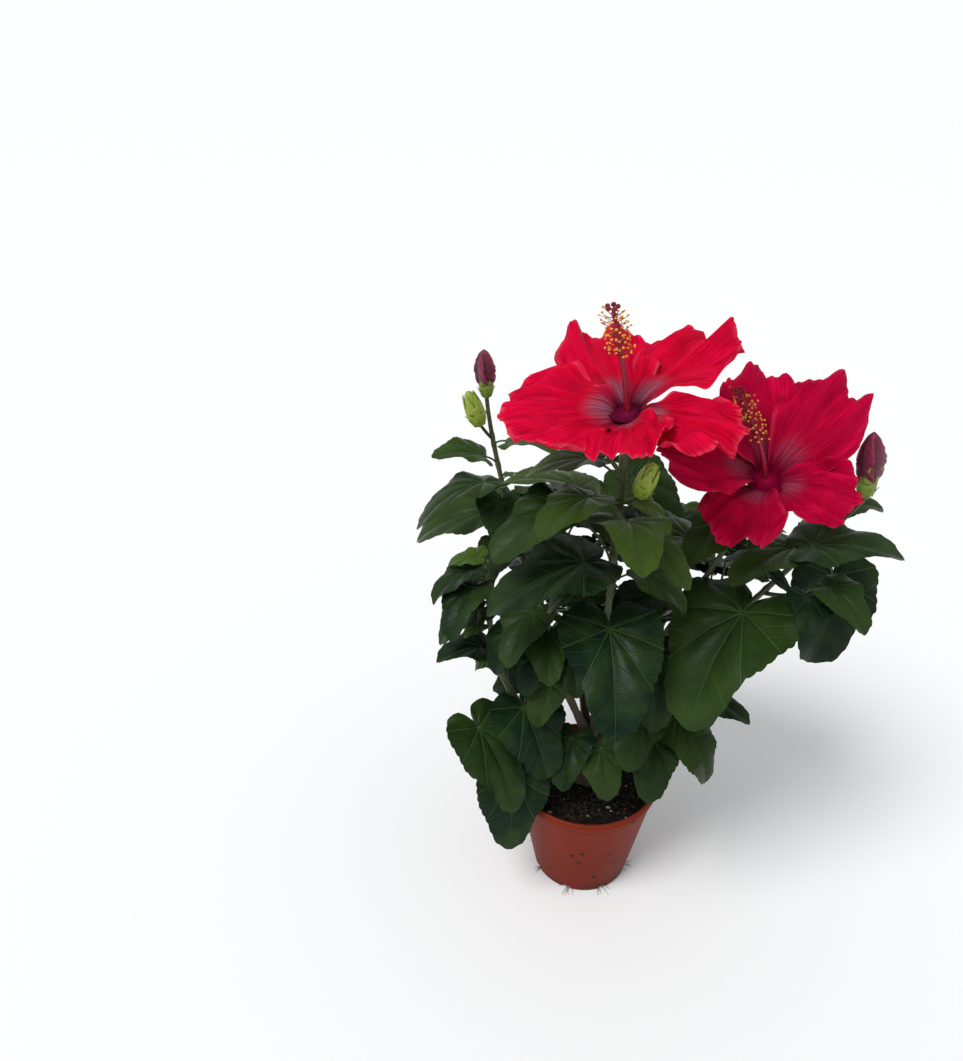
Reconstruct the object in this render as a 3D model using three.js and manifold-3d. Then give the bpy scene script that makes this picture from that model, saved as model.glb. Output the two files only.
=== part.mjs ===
// A potted hibiscus shrub: pot, soil, trunk, boughs, and leafy masses with their flowers and buds.
// Millimetres and degrees, +Z up. The origin is under the middle of the pot, and it faces -Y.
import * as THREE from 'three';
import { mergeVertices } from 'three/addons/utils/BufferGeometryUtils.js';
import Module from 'manifold-3d';

const wasm = await Module();
wasm.setup();

const gap = 0.3;                    // between solids that rest on each other

// Pot: turned, with a rolled rim and drain notches round its foot
const potHeight = 108;
const rimRadius = 65;
const footRadius = 43;
const potWall = 1.8;
const potFloor = 2.4;
const lipHeight = 9;
const lipStep = 2.4;
const potSides = 32;
const notchCount = 8;
const notchWidth = 8;
const notchHeight = 5;

// Soil: fills the pot to a little under its rim, lumpy but flat at the trunk's foot
const soilTop = 99;
const soilEdgeTop = 96.5;
const soilFlat = 13;
const soilLump = 1.4;

// Trunk: from its flat cut at the soil to the fork
const trunkTop = 163;
const trunkFlare = 10.5;
const trunkRadius = 6.4;
const trunkMiddleRadius = 5.6;
const trunkTopRadius = 4.6;
const flareHeight = 16;
const trunkLean = [3, -2];
const trunkSides = 10;

// Limbs taper evenly from the trunk to their tips
const limbRadius = 3.6;
const limbTipRadius = 1.7;
const limbSides = 6;
const limbSteps = 9;

// Leaves: a broad toothed blade, cleft at its stalk, drawn out at its tip
const bladeThickness = 1.6;
const toothDepth = 0.02;
const toothedUpTo = 115;
const bladeShoulder = 0.57;
const bladeRoundness = 0.7;
const bladeCleft = 0.06;
const dripTip = 0.37;
const dripWidth = 26;
const outlineAngles = [180, 162, 138, 114, 94, 76, 60, 46, 34, 21, 10, 0];
const midribShares = [0, 0.3, 0.62];
const midribTurns = [5, 7];         // outline points at which the strip moves on along the midrib
const stalkRadius = 1.1;
const leafRoll = [-14, 14];          // ranges that the seeded draws choose from
const leafWidth = [0.8, 0.92];
const leafBend = [28, 58];
const leafFold = [6, 18];
const leafPhase = [0, 6];
const rippleDepth = 0.15;

// Flowers: five petals out of a green cup, and a long column with stamens and five pads
const petalCount = 5;
const petalLength = 92;
const petalHalfWidth = 46;
const petalThickness = 1;
const petalFoot = [5, 15];          // how far out and how high its foot is
const petalRows = 6;
const petalColumns = 6;
const petalWidest = 0.92;
const petalRounding = 0.33;
const spineSteps = 48;
const tubeRise = 72;
const tubeShare = 0.16;
const lapShare = 0.25;
const ruffle = 6;
const wrapRadius = 9;
const throatHeight = 24;
const throatRadius = 8;
const cupLength = 18;
const cupRadius = 6.5;
const lobeLength = 12;
const columnLength = 72;
const columnRadius = 2.2;
const stamenCount = 4;
const stamenLength = 7;
const padLength = 5.5;

// The seeded rule
const divergence = 144;
const leafAttempts = 8;
const attemptTurn = 47;
const attemptShrink = 0.05;
const leafClear = 0.5;
const twigLeaves = 3;
const budLift = 70;
const ruleStalk = [0.25, 0.5];      // of the blade's length
const ruleLift = [15, 50];
const ruleBlade = [0.85, 1.1];
const ruleDip = [-5, 28];
const ruleTurn = [-25, 25];
const twigLength = [30, 55];
const twigLift = [20, 45];
const twigSideTurn = 70;

// The crown's room
const crownRadius = 205;
const crownTop = 440;
const crownSlope = 0.35;
const crownLeft = 50;
const crownLeftSlope = 0.8;
const crownFloor = 70;
const rimClear = 4;

// Limbs: where each leaves the trunk, its azimuth, the reach and height of its tip, the two powers of
// its bend, and the share at which its mass begins. Then the rule's settings for the mass: seed, first
// azimuth, leaves, twigs and blade length. A shown leaf stands where the plant's face shows one:
// [share of the stem, stalk azimuth, stalk, lift, blade, dip, blade azimuth].
// A bud is [share of the stem, azimuth, stalk, lift, size, furled length, opening of its lobes].
const limbs = [
  {
    name: 'centre', leave: 159, azimuth: -89, reach: 69, top: 470, out: 1.15, rise: 1, split: 0.36,
    seed: 1, first: 40, leaves: 4, twigs: 1, blade: 62,
    shown: [
      [0.1, -94, 41, 38, 86, 27, -88],
      [0.3, 209, 45, 55, 84, 3, -161],
      [0.42, 165, 62, 52, 70, 2, -147],
      [0.53, 131, 52, 40, 66, -19, 163],
      [0.62, -83, 32, 41, 62, -20, -86],
      [0.82, 150, 30, 30, 50, 2, 172],
      [0.72, -153, 32, 30, 54, -8, -136],
    ],
    buds: [[0.75, -50, 18, 35, 1, 0, 14], [0.86, 165, 24, 50, 0.9, 24, 10]],
  },
  {
    name: 'right', leave: 150, azimuth: -3, reach: 114, top: 397, out: 1.1, rise: 0.95, split: 0.36,
    seed: 2, first: 110, leaves: 4, twigs: 1, blade: 66,
    shown: [
      [0.02, -90, 24, 34, 66, 30, -92],
      [0.4, -150, 46, 30, 34, 10, -55],
      [0.6, 155, 26, 34, 64, -24, -174],
      [0.3, 170, 26, 25, 56, 12, -165],
    ],
    buds: [],
  },
  {
    name: 'farRight', leave: 138, azimuth: -3, reach: 192, top: 396, out: 1.05, rise: 0.95, split: 0.44,
    seed: 3, first: 70, leaves: 1, twigs: 1, blade: 64,
    shown: [
      [0.28, -111, 45, 26, 106, 21, -134],
      [0.66, 27, 47, -46, 82, 52, -98],
      [0.72, -119, 36, 23, 70, -14, -9],
      [0.84, 79, 22, 15, 44, -1, 9],
      [0.62, -132, 26, 40, 64, -4, -154],
    ],
    buds: [[1, 150, 0, 86, 1.25, 34, 12]],
  },
  {
    name: 'leftBud', leave: 143, azimuth: 137, reach: 124, top: 437, out: 1.3, rise: 1.1, split: 0.5,
    seed: 4, first: 30, leaves: 3, twigs: 1, blade: 58,
    shown: [
      [0.48, -127, 40, 40, 70, 0, -160],
      [0.65, -160, 21, 34, 42, -30, -160],
      [0.76, -35, 20, 20, 42, -20, -25],
    ],
    buds: [[1, 150, 0, 86, 1.05, 30, 8], [0.79, -150, 18, 50, 1.1, 0, 12]],
  },
  {
    name: 'lowLeft', leave: 128, azimuth: 180, reach: 90, top: 335, out: 3, rise: 1.1, split: 0.34,
    seed: 5, first: 100, leaves: 4, twigs: 1, blade: 56,
    shown: [
      [0.02, -75, 22, 20, 68, 36, -58],
      [0.35, -170, 17, 40, 42, -12, -170],
      [0.65, -150, 14, 37, 44, 8, -154],
      [0.9, -160, 16, 32, 44, 10, -162],
    ],
    buds: [],
  },
  {
    name: 'left', leave: 154, azimuth: -162, reach: 52, top: 330, out: 1.6, rise: 1.1, split: 0.4,
    seed: 6, first: 150, leaves: 5, twigs: 1, blade: 62,
    shown: [[0.08, -120, 22, 25, 42, 42, -125]],
    buds: [],
  },
  {
    name: 'lowRight', leave: 121, azimuth: -4, reach: 85, top: 215, out: 1.6, rise: 1.1, split: 0.5,
    seed: 7, first: 20, leaves: 3, twigs: 1, blade: 56,
    shown: [[0.05, -112, 32, 20, 56, 30, -95], [0.3, -46, 25, -30, 50, 43, -36]],
    buds: [],
  },
  {
    name: 'farLowLeft', leave: 116, azimuth: 198, reach: 88, top: 180, out: 1.6, rise: 1.1, split: 0.5,
    seed: 8, first: 160, leaves: 4, twigs: 1, blade: 62,
    shown: [[0.8, -164, 23, 43, 82, 31, -46], [0.3, -88, 23, -49, 70, 48, -94]],
    buds: [],
  },
  {
    name: 'low', leave: 118, azimuth: -100, reach: 17, top: 168, out: 1.2, rise: 1, split: 0,
    seed: 9, first: 30, leaves: 2, twigs: 0, blade: 44,
    shown: [[0.5, -70, 33, 45, 48, 42, -79], [0.85, -150, 20, 30, 48, 28, -114]],
    buds: [],
  },
  {
    name: 'backLeft', leave: 149, azimuth: 106, reach: 88, top: 350, out: 1.7, rise: 1.1, split: 0.4,
    seed: 10, first: 60, leaves: 7, twigs: 2, blade: 78, shown: [], buds: [],
  },
  {
    name: 'back', leave: 156, azimuth: 75, reach: 85, top: 400, out: 1.5, rise: 1.1, split: 0.4,
    seed: 11, first: 90, leaves: 6, twigs: 2, blade: 78, shown: [], buds: [[1, 80, 0, 80, 0.9, 22, 8]],
  },
  {
    name: 'backRight', leave: 133, azimuth: 40, reach: 125, top: 340, out: 1.6, rise: 1.1, split: 0.4,
    seed: 12, first: 40, leaves: 5, twigs: 2, blade: 80, shown: [], buds: [],
  },
  {
    name: 'lowBack', leave: 118, azimuth: 92, reach: 85, top: 225, out: 1.6, rise: 1.1, split: 0.45,
    seed: 13, first: 120, leaves: 6, twigs: 2, blade: 74, shown: [], buds: [],
  },
];

// The two open flowers end their stems.
// A petal is [azimuth across the flower, rise, size, curl, tilt, share of the usual width].
const blooms = {
  centre: {
    axis: [-0.1, -0.16, 1], column: [-0.2, 0.02, 1], seed: 1,
    petals: [
      [180, 7, 0.9, 24, -9, 1.05], [98, 10, 0.98, 12, 4, 1], [41, 8, 1.11, 12, -4, 0.8],
      [-38, 7, 0.88, 30, 5, 0.72], [-98, 8, 0.57, 16, 5, 1.5],
    ],
  },
  right: {
    axis: [-0.05, -0.56, 0.83], column: [-0.38, 0.08, 1], seed: 2,
    petals: [
      [160, 18, 0.96, 14, 5, 1], [93, 25, 0.92, 14, 5, 1], [40, 22, 1, 0, 5, 0.88],
      [-28, 18, 0.72, 20, 5, 1], [-128, 16, 0.76, 18, 5, 1.1],
    ],
  },
};

const radians = (angle) => (angle * Math.PI) / 180;
const blend = (from, to, share) => from + (to - from) * share;
const within = (range, share) => blend(range[0], range[1], share);

// A repeatable draw from 0 to 1 for each seed and number
function chance(seed, draw) {
  const wave = Math.sin(seed * 12.9898 + draw * 78.233) * 43758.5453;
  return wave - Math.floor(wave);
}

// The unit vector at an azimuth from +X towards +Y, and a lift above the level
function heading(azimuth, lift) {
  const level = Math.cos(radians(lift));
  return new THREE.Vector3(
    level * Math.cos(radians(azimuth)),
    level * Math.sin(radians(azimuth)),
    Math.sin(radians(lift)),
  );
}

// A shape is a list of points and a list of triangles with their faces outwards.

// A tube along a path: rings of points square to its ways, closed at both ends
function tube(path, radii, sides, twist = 0, ways = null) {
  const points = [];
  const faces = [];
  let side = new THREE.Vector3(0.36, 0.93, 0.05);
  path.forEach((centre, ring) => {
    const before = path[Math.max(ring - 1, 0)];
    const after = path[Math.min(ring + 1, path.length - 1)];
    const along = ways ? ways[ring] : after.clone().sub(before).normalize();
    side = side.clone().addScaledVector(along, -side.dot(along)).normalize();
    const across = along.clone().cross(side);
    for (let corner = 0; corner < sides; corner += 1) {
      const turn = (2 * Math.PI * corner) / sides + radians(twist) * ring;
      points.push(centre.clone()
        .addScaledVector(side, radii[ring] * Math.cos(turn))
        .addScaledVector(across, radii[ring] * Math.sin(turn)));
    }
  });
  for (let ring = 0; ring + 1 < path.length; ring += 1) {
    for (let corner = 0; corner < sides; corner += 1) {
      const a = ring * sides + corner;
      const b = ring * sides + ((corner + 1) % sides);
      faces.push([a, b, b + sides], [a, b + sides, a + sides]);
    }
  }
  const last = (path.length - 1) * sides;
  for (let corner = 1; corner + 1 < sides; corner += 1) {
    faces.push([0, corner + 1, corner], [last, last + corner, last + corner + 1]);
  }
  return { points, faces };
}

// A point at a share of the way along a bow from one point to another, drawn towards a third
function bowPoint(from, middle, to, share) {
  const rest = 1 - share;
  return from.clone().multiplyScalar(rest * rest)
    .addScaledVector(middle, 2 * rest * share)
    .addScaledVector(to, share * share);
}

function solidOf(shape) {
  const vertProperties = new Float32Array(shape.points.flatMap((point) => point.toArray()));
  const triVerts = new Uint32Array(shape.faces.flat());
  return new wasm.Manifold(new wasm.Mesh({ numProp: 3, vertProperties, triVerts }));
}

function solidOfGeometry(geometry) {
  const bare = geometry.clone();
  bare.deleteAttribute('normal');
  bare.deleteAttribute('uv');
  const merged = mergeVertices(bare, 1e-4);
  const vertProperties = new Float32Array(merged.attributes.position.array);
  const triVerts = new Uint32Array(merged.index.array);
  return new wasm.Manifold(new wasm.Mesh({ numProp: 3, vertProperties, triVerts }));
}

function geometryOf(solid) {
  const mesh = solid.getMesh();
  const geometry = new THREE.BufferGeometry();
  geometry.setAttribute('position', new THREE.BufferAttribute(new Float32Array(mesh.vertProperties), 3));
  geometry.setIndex(new THREE.BufferAttribute(new Uint32Array(mesh.triVerts), 1));
  geometry.computeVertexNormals();
  return geometry;
}

// The largest piece of a solid: loose scraps are dropped and sealed hollows are filled
function largest(solid) {
  return solid.decompose().reduce((best, next) => (next.volume() > best.volume() ? next : best));
}

const fuse = (shapes) => largest(shapes.map(solidOf).reduce((body, next) => body.add(next)));

// Pot and soil

function potProfile() {
  const lipFoot = potHeight - lipHeight;
  const wallRadius = (z) => blend(footRadius, rimRadius - lipStep, z / lipFoot);
  return [
    [0, 0], [footRadius - 1.5, 0], [footRadius, 1.5], [wallRadius(notchHeight + 2), notchHeight + 2],
    [wallRadius(lipFoot), lipFoot],
    [rimRadius - 0.6, lipFoot + 1.2], [rimRadius, potHeight - 2], [rimRadius - 1.2, potHeight],
    [rimRadius - 2.8, potHeight - 0.4], [wallRadius(lipFoot) - potWall, lipFoot],
    [wallRadius(notchHeight + 2) - potWall, notchHeight + 2], [wallRadius(potFloor) - potWall, potFloor],
    [0, potFloor],
  ].map(([radius, z]) => new THREE.Vector2(radius, z));
}

function turned(profile) {
  return new THREE.LatheGeometry(profile, potSides).rotateX(Math.PI / 2);
}

function potSolid() {
  let pot = solidOfGeometry(turned(potProfile()));
  for (let notch = 0; notch < notchCount; notch += 1) {
    const cutter = new THREE.BoxGeometry(12, notchWidth, notchHeight);
    cutter.translate(footRadius, 0, 0);
    cutter.rotateZ((2 * Math.PI * (notch + 0.5)) / notchCount);
    pot = pot.subtract(solidOfGeometry(cutter));
  }
  return pot;
}

function soilSolid() {
  const lipFoot = potHeight - lipHeight;
  const inside = (z) => blend(footRadius, rimRadius - lipStep, z / lipFoot) - potWall - gap;
  const edge = inside(soilEdgeTop);
  const profile = [
    [0, potFloor + gap], [inside(potFloor), potFloor + gap], [edge, soilEdgeTop],
    [edge * 0.85, soilEdgeTop + 1], [edge * 0.66, soilTop - 1], [edge * 0.45, soilTop - 0.5],
    [soilFlat, soilTop], [0, soilTop],
  ].map(([radius, z]) => new THREE.Vector2(radius, z));
  const soil = turned(profile);
  const place = soil.attributes.position;
  for (let point = 0; point < place.count; point += 1) {
    const radius = Math.hypot(place.getX(point), place.getY(point));
    const onTop = place.getZ(point) > soilEdgeTop - 1;
    if (onTop && radius > soilFlat + 1 && radius < edge - 1) {
      const spot = Math.round(place.getX(point)) * 31 + Math.round(place.getY(point)) * 17;
      place.setZ(point, place.getZ(point) + soilLump * (chance(3, spot) - 0.5));
    }
  }
  return solidOfGeometry(soil);
}

// Trunk and limbs

function trunkPoint(z) {
  const straight = soilTop + 0.5 * flareHeight;
  const share = Math.max(0, z - straight) / (trunkTop - straight);
  return new THREE.Vector3(trunkLean[0] * share, trunkLean[1] * share, z);
}

function trunkShape(swell) {
  const foot = soilTop + gap;
  const heights = [foot, foot + 0.35 * flareHeight, foot + flareHeight, blend(foot, trunkTop, 0.6), trunkTop];
  const flare = blend(trunkFlare, trunkRadius, 0.75);
  const radii = [trunkFlare, flare, trunkRadius, trunkMiddleRadius, trunkTopRadius];
  heights[heights.length - 1] += swell;
  return tube(heights.map(trunkPoint), radii.map((radius) => radius + swell), trunkSides);
}

// Each limb leaves the trunk at a height, heads for an azimuth and comes to its tip. "out" and "rise"
// bend its way there. Up to the share "split" it is a bough, and past that the stem of a mass.
function limbPoint(limb, share) {
  const root = trunkPoint(limb.leave);
  const tip = heading(limb.azimuth, 0).multiplyScalar(limb.reach);
  const out = 1 - (1 - share) ** limb.out;
  return new THREE.Vector3(
    blend(root.x, tip.x, out),
    blend(root.y, tip.y, out),
    blend(limb.leave, limb.top, share ** limb.rise),
  );
}

function limbWay(limb, share) {
  const back = limbPoint(limb, Math.max(0, share - 0.01));
  return limbPoint(limb, Math.min(1, share + 0.01)).sub(back).normalize();
}

function limbShape(limb, from, to, swell) {
  const steps = Math.max(2, Math.round(limbSteps * (to - from)));
  const shares = Array.from({ length: steps + 1 }, (_, step) => blend(from, to, step / steps));
  return tube(
    shares.map((share) => limbPoint(limb, share)),
    shares.map((share) => blend(limbRadius, limbTipRadius, share) + swell),
    limbSides, 0, shares.map((share) => limbWay(limb, share)),
  );
}

function gapShare(limb) {
  const step = 0.01;
  const reach = limbPoint(limb, limb.split + step).distanceTo(limbPoint(limb, limb.split));
  return (gap * step) / reach;
}

// The point on a mass's stem at a share of the way from the bough's tip to the stem's own
const stemPoint = (limb, share) => limbPoint(limb, blend(limb.split, 1, share));

// Leaves

// A leaf stands on a stalk of a length, azimuth and lift. Its blade turns off by "turn", dips below the
// level and bends down along its length. Seeded draws give the width, bend, fold and roll.
function makeLeaf(root, azimuth, stalk, lift, length, dip, turn, seed) {
  const joint = root.clone().addScaledVector(heading(azimuth, lift), stalk);
  const ahead = heading(azimuth + turn, -dip);
  const level = new THREE.Vector3(Math.sin(radians(azimuth + turn)), -Math.cos(radians(azimuth + turn)), 0);
  const roll = radians(within(leafRoll, chance(seed, 1)));
  const up = level.clone().cross(ahead);
  const right = level.multiplyScalar(Math.cos(roll)).addScaledVector(up, Math.sin(roll));
  return {
    root, joint, ahead, right, up: right.clone().cross(ahead), length,
    rise: heading(azimuth, Math.min(lift + 28, 85)).multiplyScalar(stalk * 0.5).add(root),
    width: within(leafWidth, chance(seed, 2)),
    bend: radians(within(leafBend, chance(seed, 3))),
    fold: Math.tan(radians(within(leafFold, chance(seed, 4)))),
    phase: within(leafPhase, chance(seed, 5)),
  };
}

// The blade's reach from the stalk at an angle off its tip's direction, in blade lengths
function outlineReach(angle) {
  const shoulder = bladeShoulder * Math.cos(radians(angle) / 2) ** bladeRoundness;
  return bladeCleft + shoulder + dripTip * Math.exp(-((angle / dripWidth) ** 2));
}

// A flat place on the blade, carried onto its bent, folded and rippled surface
function bladePoint(leaf, across, along, lift) {
  const turn = leaf.bend * along;
  const ahead = (leaf.length * Math.sin(turn)) / leaf.bend;
  const down = (leaf.length * (1 - Math.cos(turn))) / leaf.bend;
  const aside = leaf.length * leaf.width * across;
  const wave = Math.sin(9 * along + leaf.phase + 3 * across);
  const ripple = rippleDepth * leaf.length * across * across * wave;
  const rise = Math.abs(aside) * leaf.fold * (1 - 0.9 * Math.abs(across)) + ripple + lift;
  return leaf.joint.clone()
    .addScaledVector(leaf.ahead, ahead + rise * Math.sin(turn))
    .addScaledVector(leaf.up, rise * Math.cos(turn) - down)
    .addScaledVector(leaf.right, aside);
}

// A leaf as one shape. Its stalk's last ring stands in the blade's cleft, and the blade's faces start
// from that ring. Without its stalk the ring is closed, and "swell" thickens the blade.
function leafShape(leaf, swell, withStalk) {
  const edge = outlineAngles.map((angle, index) => {
    const tooth = angle > 0 && angle < toothedUpTo ? toothDepth * (index % 2 ? 1 : -1) : 0;
    const reach = outlineReach(angle) * (1 + tooth);
    return [reach * Math.sin(radians(angle)), reach * Math.cos(radians(angle))];
  });
  const last = edge.length - 1;
  const cleft = bladePoint(leaf, 0, -bladeCleft, 0);
  const thick = stalkRadius + swell;
  const ring = [[0, 1], [0.87, -0.6], [-0.87, -0.6]].map(([aside, high]) => cleft.clone()
    .addScaledVector(leaf.right, thick * aside)
    .addScaledVector(leaf.up, thick * high));
  const points = [...ring, bladePoint(leaf, 0, edge[last][1], 0)];
  const faces = [];
  const place = (point) => points.push(point) - 1;
  const [upper, lower] = [1, -1].map((side) => midribShares.map((share) => place(
    bladePoint(leaf, 0, share, side * (bladeThickness / 2 + swell)),
  )));
  for (const hand of [1, -1]) {
    const rim = edge.map(([across, along], index) => {
      const atEnd = index === 0 || index === last;
      return atEnd ? 3 : place(bladePoint(leaf, hand * across, along, 0));
    });
    const foot = hand > 0 ? 1 : 2;
    const add = (outwards, a, b, c) => faces.push(outwards ? [a, b, c] : [a, c, b]);
    [[upper, true, 0], [lower, false, foot]].forEach(([chain, top, start]) => {
      const outwards = (hand > 0) === top;
      let spot = 0;
      add(outwards, start, rim[1], chain[0]);
      for (let index = 1; index < last; index += 1) {
        if (index === midribTurns[spot]) {
          add(outwards, rim[index], chain[spot + 1], chain[spot]);
          spot += 1;
        }
        add(outwards, rim[index], rim[index + 1], chain[spot]);
      }
    });
    add(hand > 0, 0, foot, rim[1]);
  }
  faces.push([1, 2, lower[0]]);
  if (!withStalk) {
    faces.push([0, 2, 1]);
    return { points, faces };
  }
  const bow = bowPoint(leaf.root, leaf.rise, cleft, 0.5);
  const stalk = tube([leaf.root, bow, cleft], [stalkRadius * 1.2, stalkRadius, stalkRadius], 3);
  return joinStalk({ points, faces }, stalk);
}

// The stalk's last ring is swapped for the blade's own, turned so that their corners meet
function joinStalk(blade, stalk) {
  const end = stalk.points.length - 3;
  const turn = [0, 1, 2].reduce((best, next) => {
    const miss = (shift) => [0, 1, 2].reduce((sum, corner) => sum
      + stalk.points[end + corner].distanceTo(blade.points[(corner + shift) % 3]), 0);
    return miss(next) < miss(best) ? next : best;
  }, 0);
  const kept = blade.points.length;
  const number = (corner) => (corner < end ? kept + corner : (corner - end + turn) % 3);
  const faces = stalk.faces.filter((face) => !face.every((corner) => corner >= end));
  return {
    points: [...blade.points, ...stalk.points.slice(0, end)],
    faces: [...blade.faces, ...faces.map((face) => face.map(number))],
  };
}

// Flowers and buds

// A flower's frame: the axis that it faces along, and two directions across it
function flowerFrame(flower) {
  const axis = new THREE.Vector3(...flower.axis).normalize();
  const back = new THREE.Vector3(0, 1, 0).addScaledVector(axis, -axis.y).normalize();
  return { axis, back, right: back.clone().cross(axis) };
}

// How far out and how high the middle of a petal has come, at even steps of its length
function petalSpine(petal) {
  const spine = [petalFoot];
  const step = (petalLength * petal.size) / spineSteps;
  for (let index = 0; index < spineSteps; index += 1) {
    const share = (index + 0.5) / spineSteps;
    const curl = petal.curl * Math.max(0, (share - 0.35) / 0.65) ** 2;
    const rise = radians(petal.rise + (tubeRise - petal.rise) * Math.exp(-((share / tubeShare) ** 2)) - curl);
    const [out, high] = spine[index];
    spine.push([out + step * Math.cos(rise), high + step * Math.sin(rise)]);
  }
  return spine;
}

// The half width of a petal at a share of its length
function petalWidth(share) {
  const swell = Math.sin((Math.PI / 2) * Math.min(1, share / petalWidest)) ** 1.8;
  return petalHalfWidth * (0.3 + 0.7 * swell);
}

// A place on a petal, from its foot at 0 to its tip at 1, and from edge to edge at -1 to 1
function petalPoint(flower, petal, along, across) {
  const { axis, back, right } = flower.frame;
  const cut = petalRounding * (1 - Math.sqrt(1 - 0.98 * across * across));
  const end = 1 - cut + 0.02 * Math.sin(8 * across + petal.phase);
  const place = along * end * spineSteps;
  const step = Math.min(Math.floor(place), spineSteps - 1);
  const out = blend(petal.spine[step][0], petal.spine[step + 1][0], place - step);
  const high = blend(petal.spine[step][1], petal.spine[step + 1][1], place - step);
  const aside = across * petalWidth(along) * petal.size * petal.breadth;
  const azimuth = radians(petal.azimuth) + aside / (out + wrapRadius);
  const frill = Math.abs(across) ** 1.6 * Math.sin(11 * along + petal.phase + 2 * across);
  const hem = along ** 5 * Math.sin(7 * across + 2 * petal.phase);
  const lap = petal.tilt * across * Math.min(1, along / lapShare);
  const lift = lap + ruffle * along * (frill + hem);
  return flower.at.clone()
    .addScaledVector(right, out * Math.cos(azimuth))
    .addScaledVector(back, out * Math.sin(azimuth))
    .addScaledVector(axis, high + lift);
}

function petalShape(flower, petal) {
  const points = [];
  const faces = [];
  const corner = (row, column) => [row / petalRows, (2 * column) / petalColumns - 1];
  const layers = [1, -1].map((sign) => {
    const layer = [];
    for (let row = 0; row <= petalRows; row += 1) {
      for (let column = 0; column <= petalColumns; column += 1) {
        const [along, across] = corner(row, column);
        const point = petalPoint(flower, petal, along, across);
        const rim = row === 0 || row === petalRows || column === 0 || column === petalColumns;
        if (!rim) {
          const ahead = petalPoint(flower, petal, along + 0.01, across).sub(point);
          const aside = petalPoint(flower, petal, along, across + 0.01).sub(point);
          point.addScaledVector(ahead.cross(aside).normalize(), (sign * petalThickness) / 2);
        }
        points.push(point);
        layer.push(points.length - 1);
      }
    }
    return layer;
  });
  for (let row = 0; row <= petalRows; row += 1) {
    for (let column = 0; column <= petalColumns; column += 1) {
      const spot = row * (petalColumns + 1) + column;
      const rim = row === 0 || row === petalRows || column === 0 || column === petalColumns;
      if (rim) {
        layers[1][spot] = layers[0][spot];
      }
    }
  }
  layers.forEach((layer, side) => {
    for (let row = 0; row < petalRows; row += 1) {
      for (let column = 0; column < petalColumns; column += 1) {
        const a = layer[row * (petalColumns + 1) + column];
        const b = layer[row * (petalColumns + 1) + column + 1];
        const c = layer[(row + 1) * (petalColumns + 1) + column + 1];
        const d = layer[(row + 1) * (petalColumns + 1) + column];
        faces.push(...(side === 0 ? [[a, d, c], [a, c, b]] : [[a, c, d], [a, b, c]]));
      }
    }
  });
  return keepUsed({ points, faces });
}

// The same shape without the points that no triangle uses
function keepUsed(shape) {
  const number = new Map();
  const points = [];
  const faces = shape.faces.map((face) => face.map((corner) => {
    if (!number.has(corner)) {
      number.set(corner, points.length);
      points.push(shape.points[corner]);
    }
    return number.get(corner);
  }));
  return { points, faces };
}

// The green cup that holds a flower or bud, with its five lobes opened by an angle
function cupShapes(at, axis, right, back, size, spread) {
  const along = (distance) => at.clone().addScaledVector(axis, distance * size);
  const cup = tube(
    [along(0), along(0.25 * cupLength), along(0.6 * cupLength), along(cupLength)],
    [limbTipRadius, 0.85 * cupRadius * size, cupRadius * size, cupRadius * size], limbSides,
  );
  const lobes = [];
  for (let lobe = 0; lobe < petalCount; lobe += 1) {
    const turn = (2 * Math.PI * (lobe + 0.5)) / petalCount;
    const aside = right.clone().multiplyScalar(Math.cos(turn)).addScaledVector(back, Math.sin(turn));
    const foot = along(0.7 * cupLength).addScaledVector(aside, 0.6 * cupRadius * size);
    const lean = axis.clone().multiplyScalar(Math.cos(radians(spread)))
      .addScaledVector(aside, Math.sin(radians(spread)));
    const tip = foot.clone().addScaledVector(lean, 1.25 * lobeLength * size);
    lobes.push(tube([foot, tip], [0.42 * cupRadius * size, 0.4], 3));
  }
  return [cup, ...lobes];
}

function columnShapes(flower) {
  const { axis, back, right } = flower.frame;
  const top = flower.at.clone().addScaledVector(axis, cupLength)
    .addScaledVector(new THREE.Vector3(...flower.column).normalize(), columnLength);
  const foot = flower.at.clone().addScaledVector(axis, 0.5 * cupLength);
  const bow = flower.at.clone().addScaledVector(axis, cupLength + 0.4 * columnLength);
  const place = (share) => bowPoint(foot, bow, top, share);
  const shares = [0, 0.35, 0.7, 1];
  const shapes = [tube(shares.map(place), shares.map((share) => columnRadius * (1 - 0.4 * share)), 5)];
  const spike = (share, turn, length, open, tipRadius) => {
    const root = place(share);
    const aside = right.clone().multiplyScalar(Math.cos(turn)).addScaledVector(back, Math.sin(turn));
    const tip = root.clone().addScaledVector(aside, length * Math.sin(radians(open)))
      .addScaledVector(top.clone().sub(bow).normalize(), length * Math.cos(radians(open)));
    shapes.push(tube([root, tip], [0.6, tipRadius], 3));
  };
  for (let stamen = 0; stamen < stamenCount; stamen += 1) {
    const share = blend(0.66, 0.95, stamen / stamenCount);
    spike(share, 2.4 * stamen, stamenLength + columnRadius, 65, 1.1);
  }
  for (let pad = 0; pad < petalCount; pad += 1) {
    spike(0.99, (2 * Math.PI * pad) / petalCount, padLength, 38, 1.5);
  }
  return shapes;
}

function flowerShapes(flower) {
  const { axis, back, right } = flower.frame;
  const petals = flower.petals.map(([azimuth, rise, size, curl, tilt, breadth], index) => {
    const petal = { azimuth, rise, size, curl, tilt, breadth, phase: 1.7 * index + flower.seed };
    petal.spine = petalSpine(petal);
    return petalShape(flower, petal);
  });
  const heights = [0.5 * cupLength, cupLength, throatHeight];
  const throat = tube(
    heights.map((height) => flower.at.clone().addScaledVector(axis, height)),
    [0.8 * cupRadius, 0.95 * cupRadius, throatRadius], 8,
  );
  return [...cupShapes(flower.at, axis, right, back, 1, 24), throat, ...petals, ...columnShapes(flower)];
}

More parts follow.
